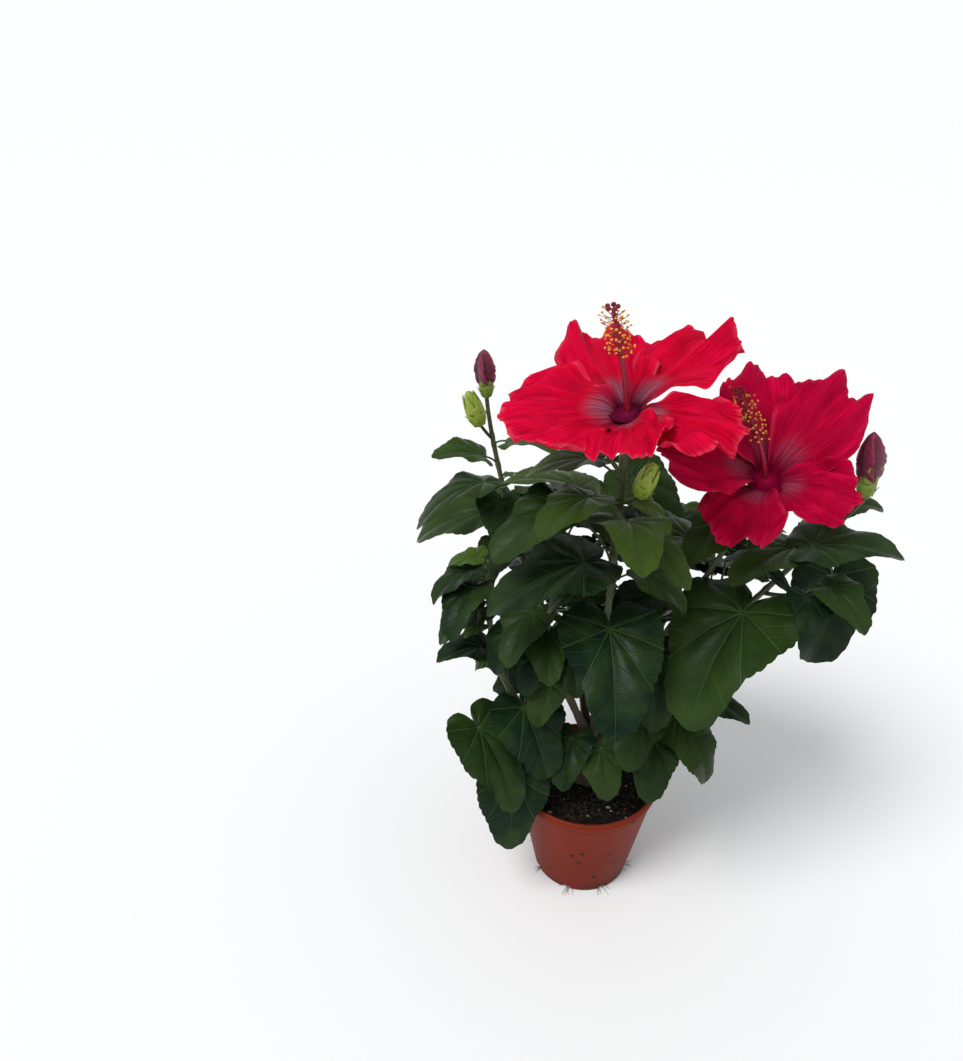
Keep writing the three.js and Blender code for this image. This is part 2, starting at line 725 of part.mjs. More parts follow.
// A furled bud in its cup, or the cup alone, on a stalk from the stem
function budShapes(bud) {
  const { axis, back, right } = flowerFrame(bud);
  const along = (distance) => bud.at.clone().addScaledVector(axis, distance * bud.size);
  const shapes = cupShapes(bud.at, axis, right, back, bud.size * 0.9, bud.open);
  if (bud.furled > 0) {
    const length = bud.furled;
    const shares = [0, 0.25, 0.5, 0.75, 0.92, 1];
    const radii = [4.5, 7.6, 8.4, 6.6, 3.4, 0.8].map((radius) => radius * bud.size);
    shapes.push(tube(shares.map((share) => along(9 + length * share)), radii, 7, 14));
  }
  if (bud.root) {
    const lean = bud.root.clone().lerp(bud.at, 0.5).addScaledVector(axis, -3);
    shapes.push(tube([bud.root, lean, along(2)], [1.5, 1.3, 1.5], 4));
  }
  return shapes;
}

// Everything that stands so far. A leaf or twig has to keep clear of it, and inside the crown.
const standing = [];

function stand(shape, mass, wood) {
  standing.push({ ...shape, mass, wood, box: new THREE.Box3().setFromPoints(shape.points) });
}

// Whether an edge of the first shape goes through a face of the second
function pierces(first, second) {
  const ray = new THREE.Ray();
  const hit = new THREE.Vector3();
  const shared = first.box.clone().intersect(second.box);
  const faceBox = new THREE.Box3();
  const near = second.faces.map((face) => face.map((corner) => second.points[corner]))
    .filter((corners) => faceBox.setFromPoints(corners).intersectsBox(shared));
  return near.length > 0 && first.faces.some((face) => face.some((corner, index) => {
    const from = first.points[corner];
    const to = first.points[face[(index + 1) % 3]];
    const length = from.distanceTo(to);
    ray.origin.copy(from);
    ray.direction.subVectors(to, from).divideScalar(length);
    return near.some(([a, b, c]) => ray.intersectTriangle(a, b, c, false, hit)
      && hit.distanceTo(from) <= length);
  }));
}

function isClear(shape, mayTouch) {
  const tested = { ...shape, box: new THREE.Box3().setFromPoints(shape.points) };
  return !standing.some((other) => !mayTouch(other) && other.box.intersectsBox(tested.box)
    && (pierces(tested, other) || pierces(other, tested)));
}

// The crown's room: within its radius, over the pot's rim or out past it, under its sloping back
function inCrown(point) {
  const radius = Math.hypot(point.x, point.y);
  const floor = radius < rimRadius + rimClear ? potHeight + rimClear : crownFloor;
  const behind = crownSlope * Math.max(0, point.y);
  const roof = crownTop - behind - crownLeftSlope * Math.max(0, -point.x - crownLeft);
  return radius < crownRadius && point.z > floor && point.z < roof;
}

// A leaf joins its mass if its blade and stalk keep clear of all that stands
function addLeaf(mass, leaf, anywhere) {
  const blade = leafShape(leaf, leafClear, false);
  const whole = leafShape(leaf, leafClear, true);
  const roomy = anywhere || blade.points.every(inCrown);
  const ownWood = (other) => other.mass === mass.number && other.wood;
  if (!roomy || !isClear(blade, () => false) || !isClear(whole, ownWood)) {
    return false;
  }
  const shape = leafShape(leaf, 0, true);
  stand(shape, mass.number, false);
  mass.shapes.push(shape);
  return true;
}

// The seeded rule: a leaf tries a few azimuths about its own, and is skipped where none is clear
function growLeaf(mass, root, azimuth, length, seed) {
  for (let attempt = 0; attempt < leafAttempts; attempt += 1) {
    const draw = (number) => chance(seed, 10 * attempt + number);
    const stalk = length * within(ruleStalk, draw(1));
    const blade = length * within(ruleBlade, draw(3)) * (1 - attemptShrink * attempt);
    const leaf = makeLeaf(
      root, azimuth + attemptTurn * attempt, stalk, within(ruleLift, draw(2)),
      blade, within(ruleDip, draw(4)), within(ruleTurn, draw(5)), seed + attempt,
    );
    if (addLeaf(mass, leaf, false)) {
      return;
    }
  }
}

// A twig leaves the stem, turns up, and carries leaves on alternate sides and at its tip
function growTwig(mass, root, azimuth, length, seed) {
  for (let attempt = 0; attempt < leafAttempts; attempt += 1) {
    const way = azimuth + attemptTurn * attempt;
    const tip = root.clone().addScaledVector(heading(way, within(twigLift, chance(seed, attempt))), length);
    const bow = root.clone().addScaledVector(heading(way, 5), 0.5 * length);
    const path = [0, 0.35, 0.7, 1].map((share) => bowPoint(root, bow, tip, share));
    const twig = tube(path, [2, 1.8, 1.5, 1.2], 4);
    if (path.every(inCrown) && isClear(twig, (other) => other.mass === mass.number && other.wood)) {
      stand(twig, mass.number, true);
      mass.shapes.push(twig);
      for (let leaf = 0; leaf < twigLeaves; leaf += 1) {
        const place = bowPoint(root, bow, tip, 1 - leaf * 0.3);
        const side = leaf === 0 ? 0 : twigSideTurn * (leaf % 2 ? 1 : -1);
        growLeaf(mass, place, way + side, mass.limb.blade * (1 - 0.1 * leaf), seed + 7 * leaf + 3);
      }
      return;
    }
  }
}

function growMass(mass) {
  const { limb } = mass;
  for (let leaf = 0; leaf < limb.leaves; leaf += 1) {
    const share = (leaf + 0.4) / limb.leaves;
    const azimuth = limb.first + divergence * leaf + 30 * (chance(limb.seed, leaf) - 0.5);
    growLeaf(mass, stemPoint(limb, share), azimuth, limb.blade * (1.1 - 0.3 * share), 40 * limb.seed + leaf);
  }
  for (let twig = 0; twig < limb.twigs; twig += 1) {
    const share = (twig + 0.5) / limb.twigs;
    const azimuth = limb.first + 60 + divergence * (twig + 1);
    const length = within(twigLength, chance(limb.seed, 50 + twig));
    growTwig(mass, stemPoint(limb, 0.75 * share), azimuth, length, 40 * limb.seed + 20 + twig);
  }
}

// The wood stands first, then the flowers and buds, the shown leaves, and the leaves of the rule

const trunk = trunkShape(0);
let wood = solidOf(trunkShape(gap));
stand(trunk, -1, true);

// A bough is cut clear of the trunk and of the boughs before it
const masses = limbs.map((limb, number) => {
  const start = limb.split === 0 ? 0 : limb.split + gapShare(limb);
  const stem = limbShape(limb, start, 1, 0);
  stand(stem, number, true);
  let bough = null;
  if (limb.split > 0) {
    const shape = limbShape(limb, 0, limb.split, 0);
    stand(shape, -1, true);
    bough = largest(solidOf(shape).subtract(wood));
    wood = wood.add(solidOf(limbShape(limb, 0, limb.split, gap)));
  }
  return { limb, number, bough, shapes: [stem] };
});

masses.forEach((mass) => {
  const { limb } = mass;
  const add = (shapes) => shapes.forEach((shape) => {
    mass.shapes.push(shape);
    stand(shape, mass.number, false);
  });
  if (blooms[limb.name]) {
    const flower = { at: stemPoint(limb, 1), ...blooms[limb.name] };
    flower.frame = flowerFrame(flower);
    add(flowerShapes(flower));
  }
  limb.buds.forEach(([share, azimuth, stalk, lift, size, furled, open]) => {
    const root = stemPoint(limb, share);
    const at = root.clone().addScaledVector(heading(azimuth, lift), stalk);
    const axis = heading(azimuth, Math.max(lift, budLift)).toArray();
    add(budShapes({ at, axis, size, furled, open, root: stalk > 0 ? root : null }));
  });
});

masses.forEach((mass) => mass.limb.shown.forEach((row, index) => {
  const [share, azimuth, stalk, lift, blade, dip, bladeAzimuth] = row;
  const seed = 40 * mass.limb.seed + 30 + index;
  const root = stemPoint(mass.limb, share);
  addLeaf(mass, makeLeaf(root, azimuth, stalk, lift, blade, dip, bladeAzimuth - azimuth, seed), true);
}));

masses.forEach(growMass);

// Nodes

const finishes = {
  pot: { color: 0x8a3a2c, roughness: 0.5, metalness: 0 },
  soil: { color: 0x1c1613, roughness: 0.95, metalness: 0 },
  bark: { color: 0x5b4a36, roughness: 0.8, metalness: 0 },
  foliage: { color: 0x2b4a2a, roughness: 0.45, metalness: 0 },
  flowering: { color: 0x8f1830, roughness: 0.5, metalness: 0 },
};

const shrub = new THREE.Group();

function addNode(name, solid, finish) {
  const node = new THREE.Mesh(geometryOf(solid), new THREE.MeshStandardMaterial(finishes[finish]));
  node.name = name;
  shrub.add(node);
}

addNode('pot', potSolid(), 'pot');
addNode('soil', soilSolid(), 'soil');
addNode('trunk', solidOf(trunk), 'bark');
masses.forEach((mass) => {
  const { name } = mass.limb;
  if (mass.bough) {
    addNode(`bough_${name}`, mass.bough, 'bark');
  }
  const body = fuse(mass.shapes);
  const clear = mass.bough ? body : largest(body.subtract(wood));
  addNode(`foliage_${name}`, clear, blooms[name] ? 'flowering' : 'foliage');
});

export default shrub;
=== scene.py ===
import math
import bpy
import numpy as np
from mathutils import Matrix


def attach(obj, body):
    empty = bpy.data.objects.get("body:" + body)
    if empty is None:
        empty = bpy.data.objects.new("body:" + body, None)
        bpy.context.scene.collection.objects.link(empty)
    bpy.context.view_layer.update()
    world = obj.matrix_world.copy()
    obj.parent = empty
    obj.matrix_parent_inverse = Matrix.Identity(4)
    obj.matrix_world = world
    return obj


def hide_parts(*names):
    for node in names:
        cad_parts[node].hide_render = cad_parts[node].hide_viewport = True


# A potted hibiscus shrub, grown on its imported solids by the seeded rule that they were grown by.
# The rule works in millimetres and degrees, and each mesh is made in metres.

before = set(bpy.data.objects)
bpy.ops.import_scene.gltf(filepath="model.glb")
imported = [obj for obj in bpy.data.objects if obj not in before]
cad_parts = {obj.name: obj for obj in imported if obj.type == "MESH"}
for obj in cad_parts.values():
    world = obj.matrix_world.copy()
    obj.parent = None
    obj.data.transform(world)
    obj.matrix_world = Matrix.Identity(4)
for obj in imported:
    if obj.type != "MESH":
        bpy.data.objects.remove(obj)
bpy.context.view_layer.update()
print("frame loaded")

# Limbs: where each leaves the trunk, its azimuth, the reach and height of its tip, the two powers of
# its bend, and the share at which its mass begins. Then the settings of the mass's rule.
# A shown leaf is [share of the stem, stalk azimuth, stalk, lift, blade, dip, blade azimuth].
# A bud is [share of the stem, azimuth, stalk, lift, size, furled length, opening of its lobes].
limbs = [
    dict(
        name="centre", leave=159, azimuth=-89, reach=69, top=470, out=1.15, rise=1, split=0.36,
        seed=1, first=40, leaves=4, twigs=1, blade=62,
        shown=[
            [0.1, -94, 41, 38, 86, 27, -88],
            [0.3, 209, 45, 55, 84, 3, -161],
            [0.42, 165, 62, 52, 70, 2, -147],
            [0.53, 131, 52, 40, 66, -19, 163],
            [0.62, -83, 32, 41, 62, -20, -86],
            [0.82, 150, 30, 30, 50, 2, 172],
            [0.72, -153, 32, 30, 54, -8, -136],
        ],
        buds=[[0.75, -50, 18, 35, 1, 0, 14], [0.86, 165, 24, 50, 0.9, 24, 10]],
    ),
    dict(
        name="right", leave=150, azimuth=-3, reach=114, top=397, out=1.1, rise=0.95, split=0.36,
        seed=2, first=110, leaves=4, twigs=1, blade=66,
        shown=[
            [0.02, -90, 24, 34, 66, 30, -92],
            [0.4, -150, 46, 30, 34, 10, -55],
            [0.6, 155, 26, 34, 64, -24, -174],
            [0.3, 170, 26, 25, 56, 12, -165],
        ],
        buds=[],
    ),
    dict(
        name="farRight", leave=138, azimuth=-3, reach=192, top=396, out=1.05, rise=0.95, split=0.44,
        seed=3, first=70, leaves=1, twigs=1, blade=64,
        shown=[
            [0.28, -111, 45, 26, 106, 21, -134],
            [0.66, 27, 47, -46, 82, 52, -98],
            [0.72, -119, 36, 23, 70, -14, -9],
            [0.84, 79, 22, 15, 44, -1, 9],
            [0.62, -132, 26, 40, 64, -4, -154],
        ],
        buds=[[1, 150, 0, 86, 1.25, 34, 12]],
    ),
    dict(
        name="leftBud", leave=143, azimuth=137, reach=124, top=437, out=1.3, rise=1.1, split=0.5,
        seed=4, first=30, leaves=3, twigs=1, blade=58,
        shown=[
            [0.48, -127, 40, 40, 70, 0, -160],
            [0.65, -160, 21, 34, 42, -30, -160],
            [0.76, -35, 20, 20, 42, -20, -25],
        ],
        buds=[[1, 150, 0, 86, 1.05, 30, 8], [0.79, -150, 18, 50, 1.1, 0, 12]],
    ),
    dict(
        name="lowLeft", leave=128, azimuth=180, reach=90, top=335, out=3, rise=1.1, split=0.34,
        seed=5, first=100, leaves=4, twigs=1, blade=56,
        shown=[
            [0.02, -75, 22, 20, 68, 36, -58],
            [0.35, -170, 17, 40, 42, -12, -170],
            [0.65, -150, 14, 37, 44, 8, -154],
            [0.9, -160, 16, 32, 44, 10, -162],
        ],
        buds=[],
    ),
    dict(
        name="left", leave=154, azimuth=-162, reach=52, top=330, out=1.6, rise=1.1, split=0.4,
        seed=6, first=150, leaves=5, twigs=1, blade=62,
        shown=[[0.08, -120, 22, 25, 42, 42, -125]],
        buds=[],
    ),
    dict(
        name="lowRight", leave=121, azimuth=-4, reach=85, top=215, out=1.6, rise=1.1, split=0.5,
        seed=7, first=20, leaves=3, twigs=1, blade=56,
        shown=[[0.05, -112, 32, 20, 56, 30, -95], [0.3, -46, 25, -30, 50, 43, -36]],
        buds=[],
    ),
    dict(
        name="farLowLeft", leave=116, azimuth=198, reach=88, top=180, out=1.6, rise=1.1, split=0.5,
        seed=8, first=160, leaves=4, twigs=1, blade=62,
        shown=[[0.8, -164, 23, 43, 82, 31, -46], [0.3, -88, 23, -49, 70, 48, -94]],
        buds=[],
    ),
    dict(
        name="low", leave=118, azimuth=-100, reach=17, top=168, out=1.2, rise=1, split=0,
        seed=9, first=30, leaves=2, twigs=0, blade=44,
        shown=[[0.5, -70, 33, 45, 48, 42, -79], [0.85, -150, 20, 30, 48, 28, -114]],
        buds=[],
    ),
    dict(
        name="backLeft", leave=149, azimuth=106, reach=88, top=350, out=1.7, rise=1.1, split=0.4,
        seed=10, first=60, leaves=7, twigs=2, blade=78, shown=[], buds=[],
    ),
    dict(
        name="back", leave=156, azimuth=75, reach=85, top=400, out=1.5, rise=1.1, split=0.4,
        seed=11, first=90, leaves=6, twigs=2, blade=78, shown=[], buds=[[1, 80, 0, 80, 0.9, 22, 8]],
    ),
    dict(
        name="backRight", leave=133, azimuth=40, reach=125, top=340, out=1.6, rise=1.1, split=0.4,
        seed=12, first=40, leaves=5, twigs=2, blade=80, shown=[], buds=[],
    ),
    dict(
        name="lowBack", leave=118, azimuth=92, reach=85, top=225, out=1.6, rise=1.1, split=0.45,
        seed=13, first=120, leaves=6, twigs=2, blade=74, shown=[], buds=[],
    ),
]

# The two open flowers end their stems.
# A petal is [azimuth across the flower, rise, size, curl, tilt, share of the usual width].
blooms = dict(
    centre=dict(
        axis=[-0.1, -0.16, 1], column=[-0.2, 0.02, 1], seed=1,
        petals=[[180, 7, 0.9, 24, -9, 1.05], [98, 10, 0.98, 12, 4, 1], [41, 8, 1.11, 12, -4, 0.8],
                [-38, 7, 0.88, 30, 5, 0.72], [-98, 8, 0.57, 16, 5, 1.5]],
    ),
    right=dict(
        axis=[-0.05, -0.56, 0.83], column=[-0.38, 0.08, 1], seed=2,
        petals=[[160, 18, 0.96, 14, 5, 1], [93, 25, 0.92, 14, 5, 1], [40, 22, 1, 0, 5, 0.88],
                [-28, 18, 0.72, 20, 5, 1], [-128, 16, 0.76, 18, 5, 1.1]],
    ),
)

millimetre = 0.001


def blend(start, end, share):
    return start + (end - start) * share


def within(span, share):
    return blend(span[0], span[1], share)


def smooth(low, high, value):
    # 0 below low, 1 above high, and an even S between
    share = np.clip((value - low) / (high - low), 0, 1)
    return share * share * (3 - 2 * share)


def unit(vector):
    return vector / np.linalg.norm(vector)


def chance(seed, draw):
    # a repeatable draw from 0 to 1: what is left of a large wave after its whole number
    wave = math.sin(seed * 12.9898 + draw * 78.233) * 43758.5453
    return wave - math.floor(wave)


def chances(seed, count):
    # the same draws as an array, numbered from 0
    wave = np.sin(seed * 12.9898 + np.arange(count) * 78.233) * 43758.5453
    return wave - np.floor(wave)


def heading(azimuth, lift):
    # the unit vector at an azimuth from +X towards +Y and a lift above the level
    level = math.cos(math.radians(lift))
    turn = math.radians(azimuth)
    return np.array([level * math.cos(turn), level * math.sin(turn), math.sin(math.radians(lift))])


def bowPoint(start, middle, end, share):
    # a point on a bow from start to end, drawn towards the middle
    share = np.asarray(share, float)[..., None]
    return start * (1 - share) ** 2 + middle * 2 * share * (1 - share) + end * share**2


def turns(count):
    # even turns about a ring, in radians
    return 2 * np.pi * np.arange(count) / count


def ringFaces(rings, sides):
    # two triangles for each cell between rings of points that close on themselves
    corner = np.arange(sides)
    start = (np.arange(rings - 1) * sides)[:, None]
    a, b = (start + corner).ravel(), (start + (corner + 1) % sides).ravel()
    return np.concatenate([np.stack([a, b, b + sides], 1), np.stack([a, b + sides, a + sides], 1)])


def fanFaces(hub, ring):
    # a triangle from a hub to each side of a closed ring
    return np.stack([0 * ring + hub, ring, np.roll(ring, -1)], 1)


def tube(path, radii, sides, twist=0.0, ways=None):
    # rings of points square to the path, joined to a closed skin. A ring's radius may differ by side.
    path = np.asarray(path, float)
    ends = np.concatenate([path[:1], path, path[-1:]])
    ways = [unit(way) for way in ends[2:] - ends[:-2]] if ways is None else ways
    side = np.array([0.36, 0.93, 0.05])
    rings = []
    for ring, along in enumerate(ways):
        side = unit(side - along * (side @ along))
        across = np.cross(along, side)
        turn = turns(sides) + math.radians(twist) * ring
        out = np.cos(turn)[:, None] * side + np.sin(turn)[:, None] * across
        rings.append(path[ring] + np.reshape(radii[ring], (-1, 1)) * out)
    fan = np.arange(1, sides - 1)
    return np.concatenate(rings), np.concatenate([
        ringFaces(len(path), sides), np.stack([0 * fan, fan + 1, fan], 1),
        np.stack([0 * fan, fan, fan + 1], 1) + (len(path) - 1) * sides,
    ])


def bowTube(start, middle, end, radii, sides):
    # a tube along a bow, with one ring for each radius
    return tube(bowPoint(start, middle, end, np.linspace(0, 1, len(radii))), radii, sides)


# Trunk and limbs

soilTop = 99
trunk = dict(top=163, flare=10.5, radius=6.4, middle=5.6, tip=4.6, flareHeight=16, flareShares=[0, 0.35, 1],
             middleShare=0.6, lean=[3, -2], sides=10, gap=0.3)
limb = dict(radius=3.6, tip=1.7, sides=6, steps=9)


def trunkPoint(z):
    # upright for half the flare's height, and then leaning evenly to the fork
    straight = soilTop + 0.5 * trunk["flareHeight"]
    share = np.maximum(0, np.asarray(z, float) - straight) / (trunk["top"] - straight)
    return np.stack([trunk["lean"][0] * share, trunk["lean"][1] * share, z + 0 * share], -1)


def trunkHeights():
    # where the trunk's radius is given: three heights of its flare, its middle and the fork
    foot = soilTop + trunk["gap"]
    heights = [foot + share * trunk["flareHeight"] for share in trunk["flareShares"]]
    return heights + [blend(foot, trunk["top"], trunk["middleShare"]), trunk["top"]]


def trunkRadius(z):
    flare = blend(trunk["flare"], trunk["radius"], 0.75)
    radii = [trunk["flare"], flare, trunk["radius"], trunk["middle"], trunk["tip"]]
    return np.interp(z, trunkHeights(), radii)


def limbPoint(row, share):
    # out from the trunk by 1 - (1 - share)^out, and up by share^rise
    share = np.asarray(share, float)
    root = trunkPoint(row["leave"])
    tip = heading(row["azimuth"], 0) * row["reach"]
    out = 1 - (1 - share) ** row["out"]
    rise = row["leave"] + (row["top"] - row["leave"]) * share ** row["rise"]
    return np.stack([blend(root[0], tip[0], out), blend(root[1], tip[1], out), rise], -1)


def limbWay(row, share):
    back = limbPoint(row, max(0, share - 0.01))
    return unit(limbPoint(row, min(1, share + 0.01)) - back)


def limbTube(row, start, end, steps, sides, radii=None):
    shares = np.linspace(start, end, steps + 1)
    radii = blend(limb["radius"], limb["tip"], shares) if radii is None else radii
    return tube(limbPoint(row, shares), radii, sides, 0, [limbWay(row, share) for share in shares])


def coarseLimb(row, start, end):
    return limbTube(row, start, end, max(2, math.floor(limb["steps"] * (end - start) + 0.5)), limb["sides"])


def stemPoint(row, share):
    return limbPoint(row, blend(row["split"], 1, share))


# Leaves, as the rule tests them

leafForm = dict(
    thickness=1.6, tooth=0.02, toothedUpTo=115, shoulder=0.57, roundness=0.7, cleft=0.06,
    drip=0.37, dripWidth=26, roll=[-14, 14], width=[0.8, 0.92], bend=[28, 58], fold=[6, 18],
    phase=[0, 6], ripple=0.15, waves=9, stalk=1.1, stalkRise=28,
)
outlineAngles = np.array([180, 162, 138, 114, 94, 76, 60, 46, 34, 21, 10, 0], float)
midribShares = np.array([0, 0.3, 0.62])
midribTurns = [5, 7]


def makeLeaf(root, azimuth, stalk, lift, length, dip, turn, seed):
    # a stalk off the stem, and a blade that turns off, dips and bends down along its length
    joint = root + heading(azimuth, lift) * stalk
    ahead = heading(azimuth + turn, -dip)
    flat = math.radians(azimuth + turn)
    level = np.array([math.sin(flat), -math.cos(flat), 0])
    roll = math.radians(within(leafForm["roll"], chance(seed, 1)))
    right = level * math.cos(roll) + np.cross(level, ahead) * math.sin(roll)
    return dict(
        root=root, joint=joint, ahead=ahead, right=right, up=np.cross(right, ahead), length=length,
        rise=root + heading(azimuth, min(lift + leafForm["stalkRise"], 85)) * (stalk * 0.5), seed=seed,
        width=within(leafForm["width"], chance(seed, 2)),
        bend=math.radians(within(leafForm["bend"], chance(seed, 3))),
        fold=math.tan(math.radians(within(leafForm["fold"], chance(seed, 4)))),
        phase=within(leafForm["phase"], chance(seed, 5)),
    )


def outlineReach(angle):
    # a rounded shoulder that dies away towards the stalk, and a narrow bell for the drawn-out tip
    shoulder = leafForm["shoulder"] * np.cos(np.radians(angle) / 2).clip(0) ** leafForm["roundness"]
    return leafForm["cleft"] + shoulder + leafForm["drip"] * np.exp(-((angle / leafForm["dripWidth"]) ** 2))


def bladePoint(leaf, across, along, lift):
    # a flat place in blade lengths, carried on to an arc, folded up at its sides and rippled
    across, along = np.asarray(across, float), np.asarray(along, float)
    turn = leaf["bend"] * along
    ahead = leaf["length"] * np.sin(turn) / leaf["bend"]
    down = leaf["length"] * (1 - np.cos(turn)) / leaf["bend"]
    aside = leaf["length"] * leaf["width"] * across
    wave = np.sin(leafForm["waves"] * along + leaf["phase"] + 3 * across)
    ripple = leafForm["ripple"] * leaf["length"] * across**2 * wave
    rise = np.abs(aside) * leaf["fold"] * (1 - 0.9 * np.abs(across)) + ripple + lift
    return (
        leaf["joint"]
        + (ahead + rise * np.sin(turn))[..., None] * leaf["ahead"]
        + (rise * np.cos(turn) - down)[..., None] * leaf["up"]
        + aside[..., None] * leaf["right"]
    )


def coarseBladeFaces():
    # the triangles of the blade: 0 to 2 its stalk's ring, 3 its tip, then midrib and rims
    last = len(outlineAngles) - 1
    faces = []
    for hand, firstRim, foot in [(1, 10, 1), (-1, 20, 2)]:
        rim = [3] + [firstRim + index for index in range(last - 1)] + [3]
        for chain, isTop, start in [([4, 5, 6], True, 0), ([7, 8, 9], False, foot)]:
            outwards = (hand > 0) == isTop
            found = [(start, rim[1], chain[0])]
            spot = 0
            for index in range(1, last):
                if spot < 2 and index == midribTurns[spot]:
                    found.append((rim[index], chain[spot + 1], chain[spot]))
                    spot += 1
                found.append((rim[index], rim[index + 1], chain[spot]))
            faces += [face if outwards else (face[0], face[2], face[1]) for face in found]
        faces.append((0, foot, rim[1]) if hand > 0 else (0, rim[1], foot))
    faces.append((1, 2, 7))
    return np.array(faces)


bladeFaces = coarseBladeFaces()


def coarseLeaf(leaf, swell, withStalk):
    # the leaf as the solids have it, one closed shape with its stalk or the swelled blade alone
    reach = outlineReach(outlineAngles)
    toothed = (outlineAngles > 0) & (outlineAngles < leafForm["toothedUpTo"])
    odd = np.where(np.arange(len(reach)) % 2, 1, -1)
    reach = reach * (1 + leafForm["tooth"] * toothed * odd)
    across = reach * np.sin(np.radians(outlineAngles))
    along = reach * np.cos(np.radians(outlineAngles))
    cleft = bladePoint(leaf, 0, -leafForm["cleft"], 0)
    thick = leafForm["stalk"] + swell
    ring = [cleft + leaf["right"] * thick * aside + leaf["up"] * thick * high
            for aside, high in [(0, 1), (0.87, -0.6), (-0.87, -0.6)]]
    half = leafForm["thickness"] / 2 + swell
    points = np.concatenate([
        ring,
        bladePoint(leaf, 0, along[-1], 0)[None],
        bladePoint(leaf, 0 * midribShares, midribShares, half),
        bladePoint(leaf, 0 * midribShares, midribShares, -half),
        bladePoint(leaf, across[1:-1], along[1:-1], 0),
        bladePoint(leaf, -across[1:-1], along[1:-1], 0),
    ])
    if not withStalk:
        return points, np.concatenate([bladeFaces, [[0, 2, 1]]])
    bow = bowPoint(leaf["root"], leaf["rise"], cleft, 0.5)
    radius = leafForm["stalk"]
    stalk, stalkFaces = tube([leaf["root"], bow, cleft], [radius * 1.2, radius, radius], 3)
    end = len(stalk) - 3
    misses = [sum(np.linalg.norm(stalk[end + corner] - points[(corner + turn) % 3]) for corner in range(3))
              for turn in range(3)]
    turn = int(np.argmin(misses))
    numbers = np.concatenate([len(points) + np.arange(end), (np.arange(3) + turn) % 3])
    kept = stalkFaces[~(stalkFaces >= end).all(1)]
    return np.concatenate([points, stalk[:end]]), np.concatenate([bladeFaces, numbers[kept]])


# Flowers and buds, as the rule tests them

petalForm = dict(
    length=92, halfWidth=46, foot=[5, 15], widest=0.92, steps=48, tubeRise=72, tubeShare=0.16,
    lapShare=0.25, ruffle=6, wrap=9, rounding=0.33, rows=6, columns=6, thickness=1, curlFrom=0.35,
    footWidth=0.3, swell=1.8, hemWave=0.02,
)
flowerForm = dict(petals=5, cup=18, cupRadius=6.5, lobe=12, spread=24, column=72, columnRadius=2.2, pad=5.5)
budForm = dict(
    cup=0.9, foot=9, shares=[0, 0.25, 0.5, 0.75, 0.92, 1], radii=[4.5, 7.6, 8.4, 6.6, 3.4], tip=0.8,
    sides=7, twist=14, stalk=[1.5, 1.3, 1.5], stalkSides=4, sag=3,
)


def flowerFrame(axis):
    # the axis that a flower faces along, and two directions across it
    axis = unit(np.array(axis, float))
    back = unit(np.array([0, 1, 0]) - axis * axis[1])
    return axis, back, np.cross(back, axis)


def around(flowerAxes, turn):
    # the direction across a flower's axis at a turn from its right, in radians
    return flowerAxes[2] * math.cos(turn) + flowerAxes[1] * math.sin(turn)


def petalSpine(row):
    # how far out and how high the petal's middle has come: steep from the throat, level, then curled
    rise, size, curl = row[1:4]
    share = (np.arange(petalForm["steps"]) + 0.5) / petalForm["steps"]
    bent = curl * np.maximum(0, (share - petalForm["curlFrom"]) / (1 - petalForm["curlFrom"])) ** 2
    slope = rise + (petalForm["tubeRise"] - rise) * np.exp(-((share / petalForm["tubeShare"]) ** 2)) - bent
    step = petalForm["length"] * size / petalForm["steps"]
    moves = step * np.stack([np.cos(np.radians(slope)), np.sin(np.radians(slope))], 1)
    return np.cumsum(np.concatenate([[petalForm["foot"]], moves]), 0)


def petalWidth(share):
    # narrow at its foot, widest past the middle, and rounded off to its tip
    swell = np.sin(np.pi / 2 * np.minimum(1, share / petalForm["widest"])) ** petalForm["swell"]
    return petalForm["halfWidth"] * (petalForm["footWidth"] + (1 - petalForm["footWidth"]) * swell)


def petalPhase(flower, number):
    # each petal's waves begin elsewhere
    return 1.7 * number + flower["seed"]


def petalRuffles(along, across, phase):
    # a frill down both sides and a hem at the tip
    frill = np.abs(across) ** 1.6 * np.sin(11 * along + phase + 2 * across)
    return frill + along**5 * np.sin(7 * across + 2 * phase)


def petalPoint(flower, number, along, across, extra=0.0, notch=0.0):
    # from its foot at 0 to its tip at 1, and from edge to edge at -1 to 1, wrapped round the throat
    row = flower["petals"][number]
    phase = petalPhase(flower, number)
    spine = petalSpine(row)
    cut = petalForm["rounding"] * (1 - np.sqrt(1 - 0.98 * across * across))
    end = 1 - cut + petalForm["hemWave"] * np.sin(8 * across + phase) + notch
    place = along * end * petalForm["steps"]
    step = np.minimum(np.floor(place), petalForm["steps"] - 1).astype(int)
    out = blend(spine[step, 0], spine[step + 1, 0], place - step)
    high = blend(spine[step, 1], spine[step + 1, 1], place - step)
    aside = across * petalWidth(along) * row[2] * row[5]
    azimuth = math.radians(row[0]) + aside / (out + petalForm["wrap"])
    lap = row[4] * across * np.minimum(1, along / petalForm["lapShare"])
    high = high + lap + petalForm["ruffle"] * along * petalRuffles(along, across, phase) + extra
    axis, back, right = flower["frame"]
    return (
        flower["at"]
        + (out * np.cos(azimuth))[..., None] * right
        + (out * np.sin(azimuth))[..., None] * back
        + high[..., None] * axis
    )


def gridFaces(rows, columns):
    # two triangles for each cell of a grid of points
    row, column = np.meshgrid(np.arange(rows), np.arange(columns), indexing="ij")
    a = (row * (columns + 1) + column).ravel()
    b, c, d = a + 1, a + columns + 2, a + columns + 1
    return np.concatenate([np.stack([a, d, c], 1), np.stack([a, c, b], 1)])


